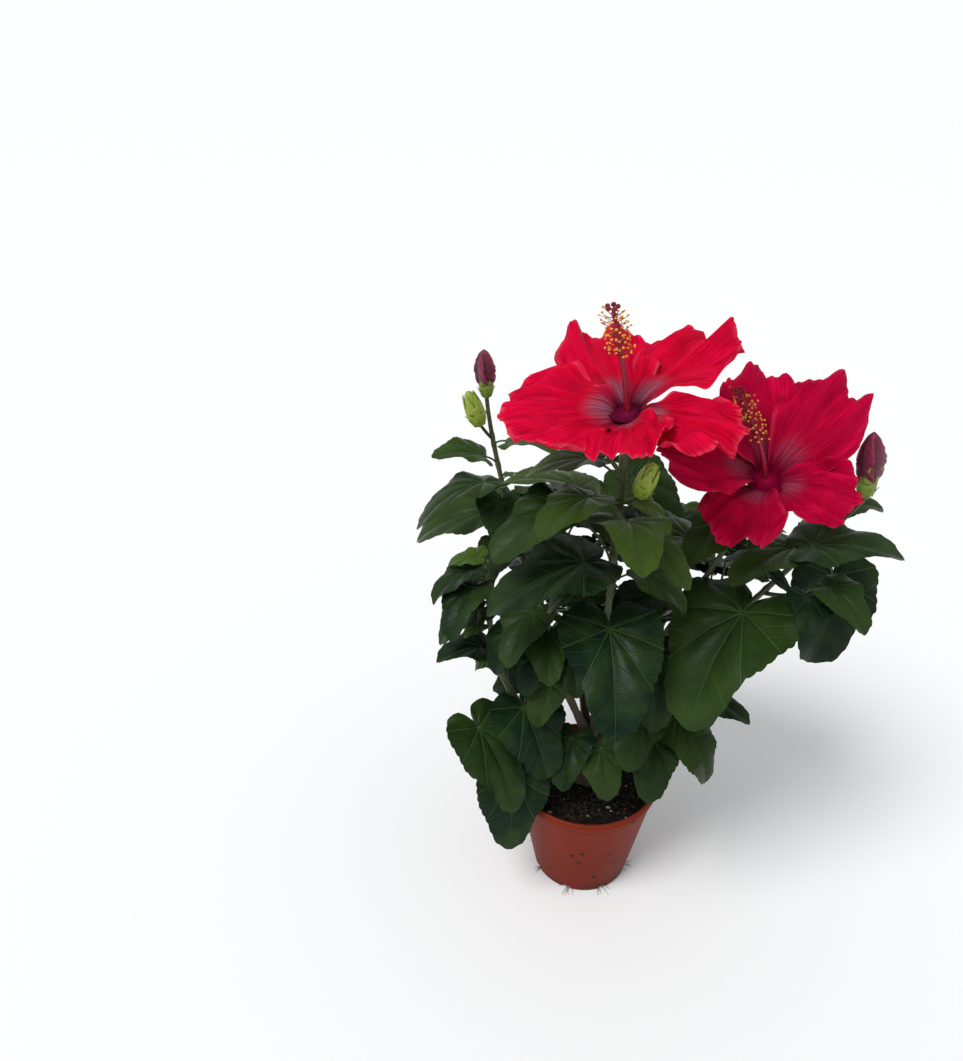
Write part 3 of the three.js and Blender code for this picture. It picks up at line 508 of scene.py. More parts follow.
def coarsePetal(flower, number):
    rows, columns = petalForm["rows"], petalForm["columns"]
    along, across = np.meshgrid(np.arange(rows + 1) / rows, 2 * np.arange(columns + 1) / columns - 1,
                                indexing="ij")
    points = petalPoint(flower, number, along, across)
    ahead = petalPoint(flower, number, along + 0.01, across) - points
    aside = petalPoint(flower, number, along, across + 0.01) - points
    normal = np.cross(ahead, aside)
    normal /= np.linalg.norm(normal, axis=-1)[..., None]
    inner = np.zeros_like(along)
    inner[1:-1, 1:-1] = petalForm["thickness"] / 2
    layers = [(points + sign * inner[..., None] * normal).reshape(-1, 3) for sign in (1, -1)]
    faces = gridFaces(rows, columns)
    return np.concatenate(layers), np.concatenate([faces, faces[:, ::-1] + len(layers[0])])


def coarseCup(at, flowerAxes, size, spread):
    axis = flowerAxes[0]
    length, radius = flowerForm["cup"] * size, flowerForm["cupRadius"] * size
    shares = [0, 0.25, 0.6, 1]
    shapes = [tube([at + axis * length * share for share in shares],
                   [limb["tip"], 0.85 * radius, radius, radius], limb["sides"])]
    for lobe in range(5):
        aside = around(flowerAxes, 2 * math.pi * (lobe + 0.5) / 5)
        foot = at + axis * 0.7 * length + aside * 0.6 * radius
        lean = axis * math.cos(math.radians(spread)) + aside * math.sin(math.radians(spread))
        tip = foot + lean * 1.25 * flowerForm["lobe"] * size
        shapes.append(tube([foot, tip], [0.42 * radius, 0.4], 3))
    return shapes


def budStalk(bud):
    # the three points of its bow, which ends inside the cup
    axis = bud["frame"][0]
    middle = (bud["root"] + bud["at"]) / 2 - budForm["sag"] * axis
    return bud["root"], middle, bud["at"] + axis * 2 * bud["size"]


def coarseBud(bud):
    axis = bud["frame"][0]
    shapes = coarseCup(bud["at"], bud["frame"], bud["size"] * budForm["cup"], bud["open"])
    if bud["furled"] > 0:
        path = [bud["at"] + axis * (budForm["foot"] + bud["furled"] * share) * bud["size"]
                for share in budForm["shares"]]
        radii = np.array(budForm["radii"] + [budForm["tip"]]) * bud["size"]
        shapes.append(tube(path, radii, budForm["sides"], budForm["twist"]))
    if bud["root"] is not None:
        shapes.append(tube(budStalk(bud), budForm["stalk"], budForm["stalkSides"]))
    return shapes


# What stands so far. A leaf or twig has to keep clear of it, and inside the crown.
standing = []


def shapeOf(points, faces):
    corners = points[faces]
    edges = np.concatenate([faces[:, [0, 1]], faces[:, [1, 2]], faces[:, [2, 0]]])
    edges = np.unique(np.sort(edges, 1), axis=0)
    return dict(points=points, corners=corners, edges=points[edges], low=points.min(0), high=points.max(0))


def stand(shape, mass, wood):
    standing.append(dict(shapeOf(*shape), mass=mass, wood=wood))


def pierces(first, second):
    # whether an edge of the first goes through a triangle of the second
    low = np.maximum(first["low"], second["low"])
    high = np.minimum(first["high"], second["high"])
    edges = first["edges"]
    edges = edges[(edges.max(1) >= low).all(1) & (edges.min(1) <= high).all(1)]
    corners = second["corners"]
    corners = corners[(corners.max(1) >= low).all(1) & (corners.min(1) <= high).all(1)]
    if not len(edges) or not len(corners):
        return False
    start = edges[:, None, 0]
    way = edges[:, None, 1] - start
    one, two = corners[None, :, 1] - corners[None, :, 0], corners[None, :, 2] - corners[None, :, 0]
    normal = np.cross(one, two)
    steep = (way * normal).sum(-1)
    sign = np.sign(steep)
    off = start - corners[None, :, 0]
    u = sign * (way * np.cross(off, two)).sum(-1)
    v = sign * (way * np.cross(one, off)).sum(-1)
    reach = -sign * (off * normal).sum(-1)
    steep = np.abs(steep)
    hit = (sign != 0) & (u >= 0) & (v >= 0) & (u + v <= steep) & (reach >= 0) & (reach <= steep)
    return bool(hit.any())


def isClear(shape, mayTouch):
    tested = shapeOf(*shape)
    for other in standing:
        apart = (other["low"] > tested["high"]).any() or (other["high"] < tested["low"]).any()
        if not apart and not mayTouch(other) and (pierces(tested, other) or pierces(other, tested)):
            return False
    return True


crown = dict(radius=205, top=440, slope=0.35, left=50, leftSlope=0.8, floor=70, rimClear=4)
potHeight = 108
rimRadius = 65


def inCrown(points):
    # over the pot's rim or out past it, within the crown's radius and under its sloping back
    radius = np.hypot(points[:, 0], points[:, 1])
    overPot = radius < rimRadius + crown["rimClear"]
    floor = np.where(overPot, potHeight + crown["rimClear"], crown["floor"])
    roof = crown["top"] - crown["slope"] * np.maximum(0, points[:, 1])
    roof = roof - crown["leftSlope"] * np.maximum(0, -points[:, 0] - crown["left"])
    return ((radius < crown["radius"]) & (points[:, 2] > floor) & (points[:, 2] < roof)).all()


# The seeded rule

rule = dict(
    divergence=144, wander=30, firstShare=0.4, attempts=8, attemptTurn=47, attemptShrink=0.05, clear=0.5,
    budLift=70, stalk=[0.25, 0.5], lift=[15, 50], blade=[0.85, 1.1], dip=[-5, 28], turn=[-25, 25],
    fullBlade=1.1, bladeTaper=0.3, twigTurn=60, twigStem=0.75, twigLength=[30, 55], twigLift=[20, 45],
    twigRadii=[2, 1.8, 1.5, 1.2], twigLeaves=3, twigSpacing=0.3, twigTaper=0.1, twigSideTurn=70,
)


def ownWood(mass):
    # a stalk or twig may touch the wood of its own mass
    return lambda other: other["mass"] == mass["number"] and other["wood"]


def addLeaf(mass, leaf, anywhere, kind):
    blade = coarseLeaf(leaf, rule["clear"], False)
    if not anywhere and not inCrown(blade[0]):
        return False
    if not isClear(blade, lambda other: False):
        return False
    whole = coarseLeaf(leaf, rule["clear"], True)
    if not isClear(whole, ownWood(mass)):
        return False
    stand(coarseLeaf(leaf, 0, True), mass["number"], False)
    mass[kind].append(leaf)
    return True


def growLeaf(mass, root, azimuth, length, seed, kind="leaves"):
    # tries a few azimuths about its own, and is skipped where none is clear
    for attempt in range(rule["attempts"]):
        draws = [chance(seed, 10 * attempt + number) for number in range(6)]
        stalk = length * within(rule["stalk"], draws[1])
        blade = length * within(rule["blade"], draws[3]) * (1 - rule["attemptShrink"] * attempt)
        leaf = makeLeaf(
            root, azimuth + rule["attemptTurn"] * attempt, stalk, within(rule["lift"], draws[2]), blade,
            within(rule["dip"], draws[4]), within(rule["turn"], draws[5]), seed + attempt,
        )
        if addLeaf(mass, leaf, False, kind):
            return


def growTwig(mass, root, azimuth, length, seed):
    # leaves the stem, turns up, and carries leaves on alternate sides and at its tip
    for attempt in range(rule["attempts"]):
        way = azimuth + rule["attemptTurn"] * attempt
        tip = root + heading(way, within(rule["twigLift"], chance(seed, attempt))) * length
        bow = root + heading(way, 5) * 0.5 * length
        path = bowPoint(root, bow, tip, [0, 0.35, 0.7, 1])
        twig = tube(path, rule["twigRadii"], 4)
        if inCrown(path) and isClear(twig, ownWood(mass)):
            stand(twig, mass["number"], True)
            mass["twigs"].append((root, bow, tip))
            for number in range(rule["twigLeaves"]):
                place = bowPoint(root, bow, tip, 1 - number * rule["twigSpacing"])
                side = 0 if number == 0 else rule["twigSideTurn"] * (1 if number % 2 else -1)
                blade = mass["limb"]["blade"] * (1 - rule["twigTaper"] * number)
                growLeaf(mass, place, way + side, blade, seed + 7 * number + 3)
            return


def growMass(mass):
    row = mass["limb"]
    for number in range(row["leaves"]):
        share = (number + rule["firstShare"]) / row["leaves"]
        azimuth = row["first"] + rule["divergence"] * number
        azimuth += rule["wander"] * (chance(row["seed"], number) - 0.5)
        blade = row["blade"] * (rule["fullBlade"] - rule["bladeTaper"] * share)
        growLeaf(mass, stemPoint(row, share), azimuth, blade, 40 * row["seed"] + number)
    for number in range(row["twigs"]):
        place = stemPoint(row, rule["twigStem"] * (number + 0.5) / row["twigs"])
        azimuth = row["first"] + rule["twigTurn"] + rule["divergence"] * (number + 1)
        length = within(rule["twigLength"], chance(row["seed"], 50 + number))
        growTwig(mass, place, azimuth, length, 40 * row["seed"] + 20 + number)


def gapShare(row):
    reach = np.linalg.norm(limbPoint(row, row["split"] + 0.01) - limbPoint(row, row["split"]))
    return trunk["gap"] * 0.01 / reach


def growFlower(mass):
    row = mass["limb"]
    flower = dict(blooms[row["name"]], at=stemPoint(row, 1))
    flower["frame"] = flowerFrame(flower["axis"])
    mass["flower"] = flower
    shapes = coarseCup(flower["at"], flower["frame"], 1, flowerForm["spread"])
    shapes += [coarsePetal(flower, petal) for petal in range(flowerForm["petals"])]
    for shape in shapes:
        stand(shape, mass["number"], False)


def growBuds(mass):
    row = mass["limb"]
    for share, azimuth, stalk, lift, size, furled, spread in row["buds"]:
        root = stemPoint(row, share)
        bud = dict(
            at=root + heading(azimuth, lift) * stalk, size=size, furled=furled, open=spread,
            frame=flowerFrame(heading(azimuth, max(lift, rule["budLift"]))),
            root=root if stalk > 0 else None,
        )
        mass["buds"].append(bud)
        for shape in coarseBud(bud):
            stand(shape, mass["number"], False)


def growShown(mass):
    # the leaves that are listed, each left out where it would meet what stands
    row = mass["limb"]
    for number, (share, azimuth, stalk, lift, blade, dip, bladeAzimuth) in enumerate(row["shown"]):
        leaf = makeLeaf(stemPoint(row, share), azimuth, stalk, lift, blade, dip, bladeAzimuth - azimuth,
                        40 * row["seed"] + 30 + number)
        addLeaf(mass, leaf, True, "leaves")


def growShrub():
    # wood first, then flowers and buds, then the leaves that were placed, and the rule's own last
    heights = np.array(trunkHeights())
    stand(tube(trunkPoint(heights), trunkRadius(heights), trunk["sides"]), -1, True)
    masses = []
    for number, row in enumerate(limbs):
        start = 0 if row["split"] == 0 else row["split"] + gapShare(row)
        stand(coarseLimb(row, start, 1), number, True)
        if row["split"] > 0:
            stand(coarseLimb(row, 0, row["split"]), -1, True)
        masses.append(dict(limb=row, number=number, leaves=[], young=[], twigs=[], buds=[], flower=None))
    for mass in masses:
        if mass["limb"]["name"] in blooms:
            growFlower(mass)
        growBuds(mass)
    for step in (growShown, growMass):
        for mass in masses:
            step(mass)
    return masses


masses = growShrub()
print("grown:", sum(len(mass["leaves"]) for mass in masses), "leaves")


# Finer growth within the same reach: small pale leaves along each stem and towards its tip
youngLook = dict(count=6, share=[0.3, 0.96], blade=[16, 34], turn=75, fresh=[0.55, 0.95])


def growYoung(mass):
    row = mass["limb"]
    for number in range(youngLook["count"]):
        share = within(youngLook["share"], number / (youngLook["count"] - 1))
        azimuth = row["first"] + youngLook["turn"] + rule["divergence"] * number
        length = within(youngLook["blade"], chance(row["seed"], 80 + number))
        growLeaf(mass, stemPoint(row, share), azimuth, length, 3000 + 40 * row["seed"] + number, "young")


for mass in masses:
    growYoung(mass)
print("young leaves:", sum(len(mass["young"]) for mass in masses))

openFlowers = [mass["flower"] for mass in masses if mass["flower"]]
flowerNodes = ["foliage_" + name for name in blooms]
foliageNodes = ["foliage_" + row["name"] for row in limbs]


# Materials and meshes

class Look:
    # one material, with a short call for each kind of node that the materials share

    def __init__(self, name, **inputs):
        self.material = bpy.data.materials.new(name)
        self.material.use_nodes = True
        self.tree = self.material.node_tree
        self.shader = next(found for found in self.tree.nodes if found.type == "BSDF_PRINCIPLED")
        for socket, value in inputs.items():
            self.shader.inputs[socket.replace("_", " ")].default_value = value

    def node(self, kind, inputs=None, **settings):
        # the outputs of a node with its settings, and its inputs set or linked
        made = self.tree.nodes.new("ShaderNode" + kind)
        for name, value in settings.items():
            setattr(made, name, value)
        for name, value in (inputs or {}).items():
            if isinstance(value, bpy.types.NodeSocket):
                self.tree.links.new(value, made.inputs[name])
            else:
                made.inputs[name].default_value = value
        return made.outputs

    def maths(self, operation, *values):
        return self.node("Math", dict(enumerate(values)), operation=operation)[0]

    def times(self, first, second):
        return self.maths("MULTIPLY", first, second)

    def fade(self, value, low, high, start=0.0, end=1.0):
        # an even S from start at low to end at high
        inputs = {"Value": value, "From Min": low, "From Max": high, "To Min": start, "To Max": end}
        return self.node("MapRange", inputs, interpolation_type="SMOOTHSTEP")[0]

    def layered(self, colour, *layers):
        # each layer is a share and the colour that it mixes in over those below
        for share, tint in layers:
            colour = self.node("Mix", {0: share, 6: colour, 7: tint}, data_type="RGBA")[2]
        return colour

    def noise(self, vector, scale, detail=3.0, roughness=0.5):
        inputs = {"Vector": vector, "Scale": scale, "Detail": detail, "Roughness": roughness}
        return self.node("TexNoise", inputs)[0]

    def ramp(self, value, stops):
        found = self.node("ValToRGB", {0: value})[0]
        elements = found.node.color_ramp.elements
        while len(elements) < len(stops):
            elements.new(0.5)
        for element, (place, colour) in zip(elements, stops):
            element.position = place
            element.color = (*colour, 1)
        return found

    def mark(self, name):
        return self.node("Attribute", attribute_name=name, attribute_type="GEOMETRY")["Fac"]

    def place(self):
        return self.node("TexCoord")["Object"]

    def flat(self):
        return self.node("UVMap", uv_map="flat")[0]

    def parts(self, vector):
        return self.node("SeparateXYZ", {0: vector})

    def scaled(self, vector, *scale):
        return self.node("Mapping", {"Vector": vector, "Scale": scale})[0]

    def finish(self, colour, height, distance, strength=1.0):
        # the colour and the fine relief go to the shader
        inputs = {"Height": height, "Distance": distance, "Strength": strength}
        self.tree.links.new(self.node("Bump", inputs)[0], self.shader.inputs["Normal"])
        self.tree.links.new(colour, self.shader.inputs["Base Color"])
        return self.material


def plainMaterial(name, low, high, scale, roughness, relief, **shine):
    # two colours mixed by a noise of the given scale, which also raises the surface
    look = Look(name, Roughness=roughness, **shine)
    grain = look.noise(look.place(), scale, 3.0, 0.6)
    return look.finish(look.layered(low, (look.fade(grain, 0.35, 0.65), high)), grain, relief)


def joined(shapes):
    # one list of points and faces, with the number of the shape that each point came from
    starts = np.cumsum([0] + [len(shape[0]) for shape in shapes])
    points = np.concatenate([shape[0] for shape in shapes])
    faces = np.concatenate([shape[1] + start for start, shape in zip(starts, shapes)])
    owner = np.repeat(np.arange(len(shapes)), [len(shape[0]) for shape in shapes])
    return points, faces, owner


def inScene(name, data):
    made = bpy.data.objects.new(name, data)
    bpy.context.scene.collection.objects.link(made)
    return made


def makePiece(name, shape, material, replaced, flat=None, marks=None, rim=None):
    # a mesh from arrays in millimetres, riding on the pot's body
    points, faces = shape[:2]
    mesh = bpy.data.meshes.new(name)
    mesh.from_pydata(points * millimetre, [], faces)
    mesh.polygons.foreach_set("use_smooth", np.ones(len(mesh.polygons), bool))
    if flat is not None:
        layer = mesh.uv_layers.new(name="flat")
        layer.data.foreach_set("uv", flat[faces].astype(np.float32).ravel())
    for title, values in (marks or {}).items():
        attribute = mesh.attributes.new(title, "FLOAT", "POINT")
        attribute.data.foreach_set("value", np.asarray(values, np.float32))
    if rim is not None:
        edges = np.zeros(len(mesh.edges) * 2, np.int32)
        mesh.edges.foreach_get("vertices", edges)
        sharp = mesh.attributes.new("sharp_edge", "BOOLEAN", "EDGE")
        sharp.data.foreach_set("value", rim[edges.reshape(-1, 2)].all(1))
    mesh.update()
    piece = inScene(name, mesh)
    mesh.materials.append(material)
    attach(piece, "root")
    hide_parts(*replaced)
    print(name, len(mesh.polygons), "faces")


# Leaves: a toothed blade of two skins that meet at its rim, quilted between the veins
# A pinch is its depth and its angle. A band of side veins is its two angles, its main vein's angle
# and its spacing.

leafLook = dict(
    teeth=11, toothDepth=0.014, toothed=[112, 9], saw=[-1, 0.6, 1], rear=[180, 118], rearPoints=8,
    rings=[0.2, 0.42, 0.64, 0.85], thickness=0.5, quilt=0.024, hem=0.018, hemWaves=9,
    lobes=0.03, lobeFrom=38, lobeStep=62, lobedUpTo=120, pinches=[(0.17, 36), (0.08, -32)], pinchWidth=17,
    stalkSlim=0.45, veins=[0, 33, 68, 105, 150, 180], drawnVeins=4, veinWidth=0.0085, veinTaper=-0.006,
    sideVeins=[(-1, 30, 0, 0.15), (30, 66, 33, 0.13), (66, 100, 68, 0.12)], slant=0.8,
    darkGreen=(0.0036, 0.0150, 0.0068, 1), freshGreen=(0.070, 0.130, 0.012, 1),
    paleVein=(0.075, 0.150, 0.040, 1), underGreen=(0.050, 0.090, 0.040, 1), roughness=0.35, shine=0.12,
    freshHeights=[290, 430], freshLow=0.03, freshHigh=0.3, freshDraw=0.36, freshFrom=0.4,
)


def leafPattern():
    # the angle and share of reach of each point, and the triangles: hub, rings, rim, rings, hub
    teeth = leafLook["teeth"] * 3
    rear = np.linspace(*leafLook["rear"], leafLook["rearPoints"])
    front = np.linspace(*leafLook["toothed"], teeth + 1)
    half = np.concatenate([rear, front, [3, 0]])
    saw = np.zeros(len(half))
    saw[len(rear):-2] = np.tile(leafLook["saw"], leafLook["teeth"] + 1)[:teeth + 1]
    angles = np.concatenate([half, -half[-2:0:-1]])
    saw = np.concatenate([saw, saw[-2:0:-1]])
    count, rings = len(angles), len(leafLook["rings"])
    ringShare = np.repeat(leafLook["rings"] + [1.0], count)
    ringAngle = np.tile(angles, rings + 1)
    turn = np.radians(np.abs(angles) - leafLook["lobeFrom"]) * 360 / leafLook["lobeStep"]
    lobes = leafLook["lobes"] * np.cos(turn) * (np.abs(angles) < leafLook["lobedUpTo"])
    edge = outlineReach(np.abs(angles)) * (1 + leafLook["toothDepth"] * saw + lobes)
    ringReach = np.tile(edge, rings + 1)
    share, angle, reach = [np.concatenate([[0], upper, upper[:-count], [0]])
                           for upper in (ringShare, ringAngle, ringReach)]
    side = np.concatenate([np.ones(1 + rings * count), np.zeros(count), -np.ones(rings * count + 1)])
    spot = np.arange(count)
    firsts = 1 + count * np.arange(2 * rings + 1)
    top, low = firsts[:rings + 1], np.append(firsts[rings + 1:], firsts[rings])
    faces = []
    for rows, hub, flip in [(top, 0, 1), (low, len(share) - 1, -1)]:
        numbers = (rows[:, None] + spot).ravel()
        faces.append(fanFaces(hub, numbers[:count])[:, ::flip])
        faces.append(numbers[ringFaces(rings + 1, count)][:, ::-flip])
    return share, angle, reach, side, np.concatenate(faces)


def leafMesh(leaf, pattern):
    # the blade pinched past its shoulders, more on one side, raised between its veins by a half wave,
    # and waved a little along its hem
    share, angle, reach, side, faces = pattern
    turned = angle if chance(leaf["seed"], 17) > 0.5 else -angle
    pinch = sum(depth * np.exp(-(((turned - centre) / leafLook["pinchWidth"]) ** 2))
                for depth, centre in leafLook["pinches"])
    reach = reach * (1 - pinch)
    across = share * reach * np.sin(np.radians(angle))
    along = share * reach * np.cos(np.radians(angle))
    between = np.interp(np.abs(angle), leafLook["veins"], np.arange(6)) % 1
    quilt = np.sin(np.pi * between) ** 0.8 * (4 * share * (1 - share)) ** 0.7
    hem = share**3 * np.sin(np.radians(angle) * leafLook["hemWaves"] + 3 * leaf["phase"])
    thick = side * (1 - share**2) * leafLook["thickness"] / 2
    lift = leaf["length"] * (leafLook["quilt"] * quilt + leafLook["hem"] * hem) + thick
    return bladePoint(leaf, across, along, lift), faces, np.stack([across, along], 1)


def stalkMesh(leaf):
    # a thin tube along the stalk's bow, thicker where it leaves the stem and where it meets the blade
    share = np.linspace(0, 1, 8)
    slim = blend(leafLook["stalkSlim"], 1, min(1, leaf["length"] / 60))
    radii = slim * (0.95 + 0.5 * np.exp(-share / 0.08) + 0.25 * np.exp(-(1 - share) / 0.1))
    end = bladePoint(leaf, 0, -0.2 * leafForm["cleft"], -0.3)
    return bowTube(leaf["root"], leaf["rise"], end, radii, 8)


def leafMaterial():
    # veins lie along rays from the stalk, side veins lie aslant of them, and the underside is paler
    look = Look("leafGreen", Roughness=leafLook["roughness"], Specular_IOR_Level=leafLook["shine"])
    flat = look.flat()
    parts = look.parts(flat)
    away = look.node("VectorMath", {0: flat}, operation="LENGTH")["Value"]
    turn = look.maths("ARCTAN2", look.maths("ABSOLUTE", parts[0]), parts[1])
    width = look.maths("MULTIPLY_ADD", away, leafLook["veinTaper"], leafLook["veinWidth"])

    def fromVein(angle, wave):
        # the cosine gives how far along a main vein a place is, and the sine how far to its side
        off = look.maths("SUBTRACT", turn, math.radians(angle))
        return look.times(away, look.maths("ABSOLUTE", look.maths(wave, off)))

    veins = sides = 0.0
    for angle in leafLook["veins"][:leafLook["drawnVeins"]]:
        vein = look.fade(look.maths("DIVIDE", fromVein(angle, "SINE"), width), 0.6, 1.6, 1, 0)
        veins = look.maths("MAXIMUM", veins, vein)
    for low, high, angle, spacing in leafLook["sideVeins"]:
        aslant = look.times(fromVein(angle, "SINE"), leafLook["slant"])
        slant = look.maths("SUBTRACT", fromVein(angle, "COSINE"), aslant)
        line = look.fade(look.maths("PINGPONG", slant, spacing / 2), 0.001, 0.008, 1, 0)
        inside = look.times(look.maths("GREATER_THAN", turn, math.radians(low)),
                            look.maths("LESS_THAN", turn, math.radians(high)))
        sides = look.maths("MAXIMUM", sides, look.times(line, inside))
    net = look.node("TexVoronoi", {"Vector": flat, "Scale": 34.0}, feature="DISTANCE_TO_EDGE")
    cells = look.fade(net["Distance"], 0.0, 0.18)
    green = look.layered(
        leafLook["darkGreen"],
        (look.mark("fresh"), leafLook["freshGreen"]),
        (look.fade(look.noise(look.place(), 38.0, 4.0), 0.35, 0.75, 0, 0.22), leafLook["freshGreen"]),
        (look.times(sides, 0.14), leafLook["paleVein"]),
        (look.times(veins, 0.4), leafLook["paleVein"]),
        (look.times(look.mark("under"), 0.8), leafLook["underGreen"]),
    )
    relief = look.maths("SUBTRACT", look.times(cells, 0.07), look.times(veins, 0.8))
    return look.finish(green, look.maths("SUBTRACT", relief, look.times(sides, 0.4)), 0.0007)


def freshness(leaf):
    # darker low down and inside, lighter towards the tips, with a draw for each leaf
    height = leafLook["freshHigh"] * smooth(*leafLook["freshHeights"], leaf["joint"][2])
    drawn = leafLook["freshDraw"] * (chance(leaf["seed"], 9) - leafLook["freshFrom"])
    return float(np.clip(leafLook["freshLow"] + height + drawn, 0, 1))


def makeLeaves(name, leaves, shades):
    # each leaf has its own share of the fresh green
    pattern = leafPattern()
    grown = [leafMesh(leaf, pattern) for leaf in leaves]
    points, faces, owner = joined(grown)
    marks = dict(fresh=np.array(shades)[owner], under=np.tile((pattern[3] < 0).astype(float), len(leaves)))
    makePiece(name, (points, faces), leafGreen, foliageNodes,
              np.concatenate([shape[2] for shape in grown]), marks, np.tile(pattern[0] == 1, len(leaves)))


leafGreen = leafMaterial()
grownLeaves = [leaf for mass in masses for leaf in mass["leaves"]]
youngLeaves = [leaf for mass in masses for leaf in mass["young"]]
makeLeaves("leaves", grownLeaves, [freshness(leaf) for leaf in grownLeaves])
makeLeaves("youngLeaves", youngLeaves,
           [within(youngLook["fresh"], chance(leaf["seed"], 9)) for leaf in youngLeaves])


# Wood: the trunk and boughs with their bark, and the green shoots, twigs and stalks

woodLook = dict(
    ringStep=1.82, trunkRings=52, trunkSides=26, boughSides=16, shootSides=12, twigSides=10,
    relief=0.045, dots=0.07, dotShare=0.97, buttresses=5, buttress=0.09, buttressHeight=7,
    nodeSwell=0.22, twig=[2.0, 1.1], stalk=[1.5, 1.3], barkHeights=[130, 300],
    oldBark=(0.075, 0.058, 0.040, 1), youngBark=(0.070, 0.085, 0.030, 1), shoot=(0.055, 0.095, 0.022, 1),
    blush=(0.10, 0.045, 0.022, 1), line=(0.02, 0.016, 0.01, 1),
)


def barkRelief(rings, sides, seed):
    # ridges that wander along the limb as sums of waves, with a scatter of small raised dots
    ring = np.arange(rings)[:, None]
    turn = turns(sides)
    ridges = np.sin(3 * turn + 0.08 * ring + seed) + 0.7 * np.sin(5 * turn - 0.11 * ring + 2 * seed)
    bands = np.sin(0.9 * ring + 2 * np.sin(turn + seed))
    dots = chances(seed, rings * sides).reshape(rings, sides) > woodLook["dotShare"]
    return 1 + woodLook["relief"] * (0.5 * ridges + 0.4 * bands) + woodLook["dots"] * dots


def trunkMesh():
    # the trunk's own radii, with buttresses that die away above its foot
    heights = np.linspace(soilTop + trunk["gap"], trunk["top"], woodLook["trunkRings"])
    sides = woodLook["trunkSides"]
    fade = np.exp(-(heights - soilTop) / woodLook["buttressHeight"])[:, None]
    buttress = 1 + woodLook["buttress"] * np.cos(woodLook["buttresses"] * turns(sides) + 0.6) * fade
    radii = trunkRadius(heights)[:, None] * barkRelief(len(heights), sides, 0.7) * buttress
    return tube(trunkPoint(heights), radii, sides)


def limbMesh(row, start, end, sides, nodes, seed):
    # rings along a limb, swollen where its leaves stand
    length = np.linalg.norm(limbPoint(row, end) - limbPoint(row, start))
    steps = max(6, int(length / woodLook["ringStep"]))
    shares = np.linspace(start, end, steps + 1)
    bumps = sum(np.exp(-(((shares - at) * row["top"] / 3.0) ** 2)) for at in nodes)
    radii = blend(limb["radius"], limb["tip"], shares) * (1 + woodLook["nodeSwell"] * bumps)
    return limbTube(row, start, end, steps, sides, radii[:, None] * barkRelief(steps + 1, sides, seed))


def woodMaterial(name, base, other, blush, roughness):
    # two greens or browns mixed by age, with a blush and fine lines along the grain
    look = Look(name, Roughness=roughness)
    place = look.place()
    grain = look.noise(look.scaled(place, 1, 1, 0.25), 900.0, 4.0, 0.6)
    colour = look.layered(
        woodLook[other],
        (look.mark("age"), woodLook[base]),
        (look.fade(look.noise(place, 160.0, 2.0), 0.5, 0.72, 0, 0.6), woodLook[blush]),
        (look.fade(grain, 0.45, 0.7, 0, 0.45), woodLook["line"]),
    )
    return look.finish(colour, grain, 0.0003)


def makeWood():
    forked = [row for row in limbs if row["split"] > 0]
    shapes = [trunkMesh()]
    shapes += [limbMesh(row, 0.0, row["split"], woodLook["boughSides"], [], row["seed"]) for row in forked]
    points, faces = joined(shapes)[:2]
    bark = woodMaterial("barkBrown", "oldBark", "youngBark", "oldBark", 0.75)
    boughs = ["bough_" + row["name"] for row in forked]
    makePiece("barkedLimbs", (points, faces), bark, ["trunk"] + boughs,
              marks=dict(age=1 - smooth(*woodLook["barkHeights"], points[:, 2])))


def shootMeshes(mass):
    # pairs of a mesh and its age
    row, sides = mass["limb"], woodLook["twigSides"]
    places = [shown[0] for shown in row["shown"]]
    places += [(number + rule["firstShare"]) / row["leaves"] for number in range(row["leaves"])]
    nodes = [blend(row["split"], 1, place) for place in places]
    yield limbMesh(row, row["split"], 1.0, woodLook["shootSides"], nodes, 20 + row["seed"]), 0.6
    for bow in mass["twigs"]:
        radii = within(woodLook["twig"], np.linspace(0, 1, 14))[:, None] * barkRelief(14, sides, 3.3)
        yield bowTube(*bow, radii, sides), 0.4
    for leaf in mass["leaves"] + mass["young"]:
        yield stalkMesh(leaf), 0.15
    for bud in mass["buds"]:
        if bud["root"] is not None:
            yield bowTube(*budStalk(bud), within(woodLook["stalk"], np.linspace(0, 1, 10)), sides), 0.1


def makeShoots():
    pairs = [pair for mass in masses for pair in shootMeshes(mass)]
    points, faces, owner = joined([shape for shape, age in pairs])
    green = woodMaterial("shootGreen", "youngBark", "shoot", "blush", 0.5)
    makePiece("shoots", (points, faces), green, foliageNodes,
              marks=dict(age=np.array([age for shape, age in pairs])[owner]))


makeWood()
makeShoots()


# Petals: two skins on a grid from throat to tip, pleated along their length and crinkled at the hem
# The funnel is the heights and radii of a closed cup that fills the throat.

# Painted light among these colours: a darker crimson paints shade over the whole second flower, and a
# magenta paints highlights on the outer petals.
petalLook = dict(
    rows=58, columns=44, thickness=0.7, pleat=1.3, crinkle=3.3, corner=0.55, notch=0.012, funnelSides=30,
    throat=(0.125, 0.003, 0.030), crimson=(0.48, 0.0, 0.040), red=(0.70, 0.0, 0.030),
    tipRed=(0.73, 0.0, 0.038), pale=(0.42, 0.19, 0.27, 1), shade=(0.26, 0.0, 0.018, 1),
    paintedShade=(0.37, 0.0, 0.042, 1), hem=(0.85, 0.10, 0.16, 1), paintedHighlight=(0.85, 0.004, 0.085, 1),
    roughness=0.6, shine=0.05,
    funnel=[[11, 3], [14, 6.6], [18, 8.0], [22, 10.6], [24.6, 13.5], [23.8, 12.8], [20.5, 9.2], [15.5, 6.6],
            [13, 2]],
)


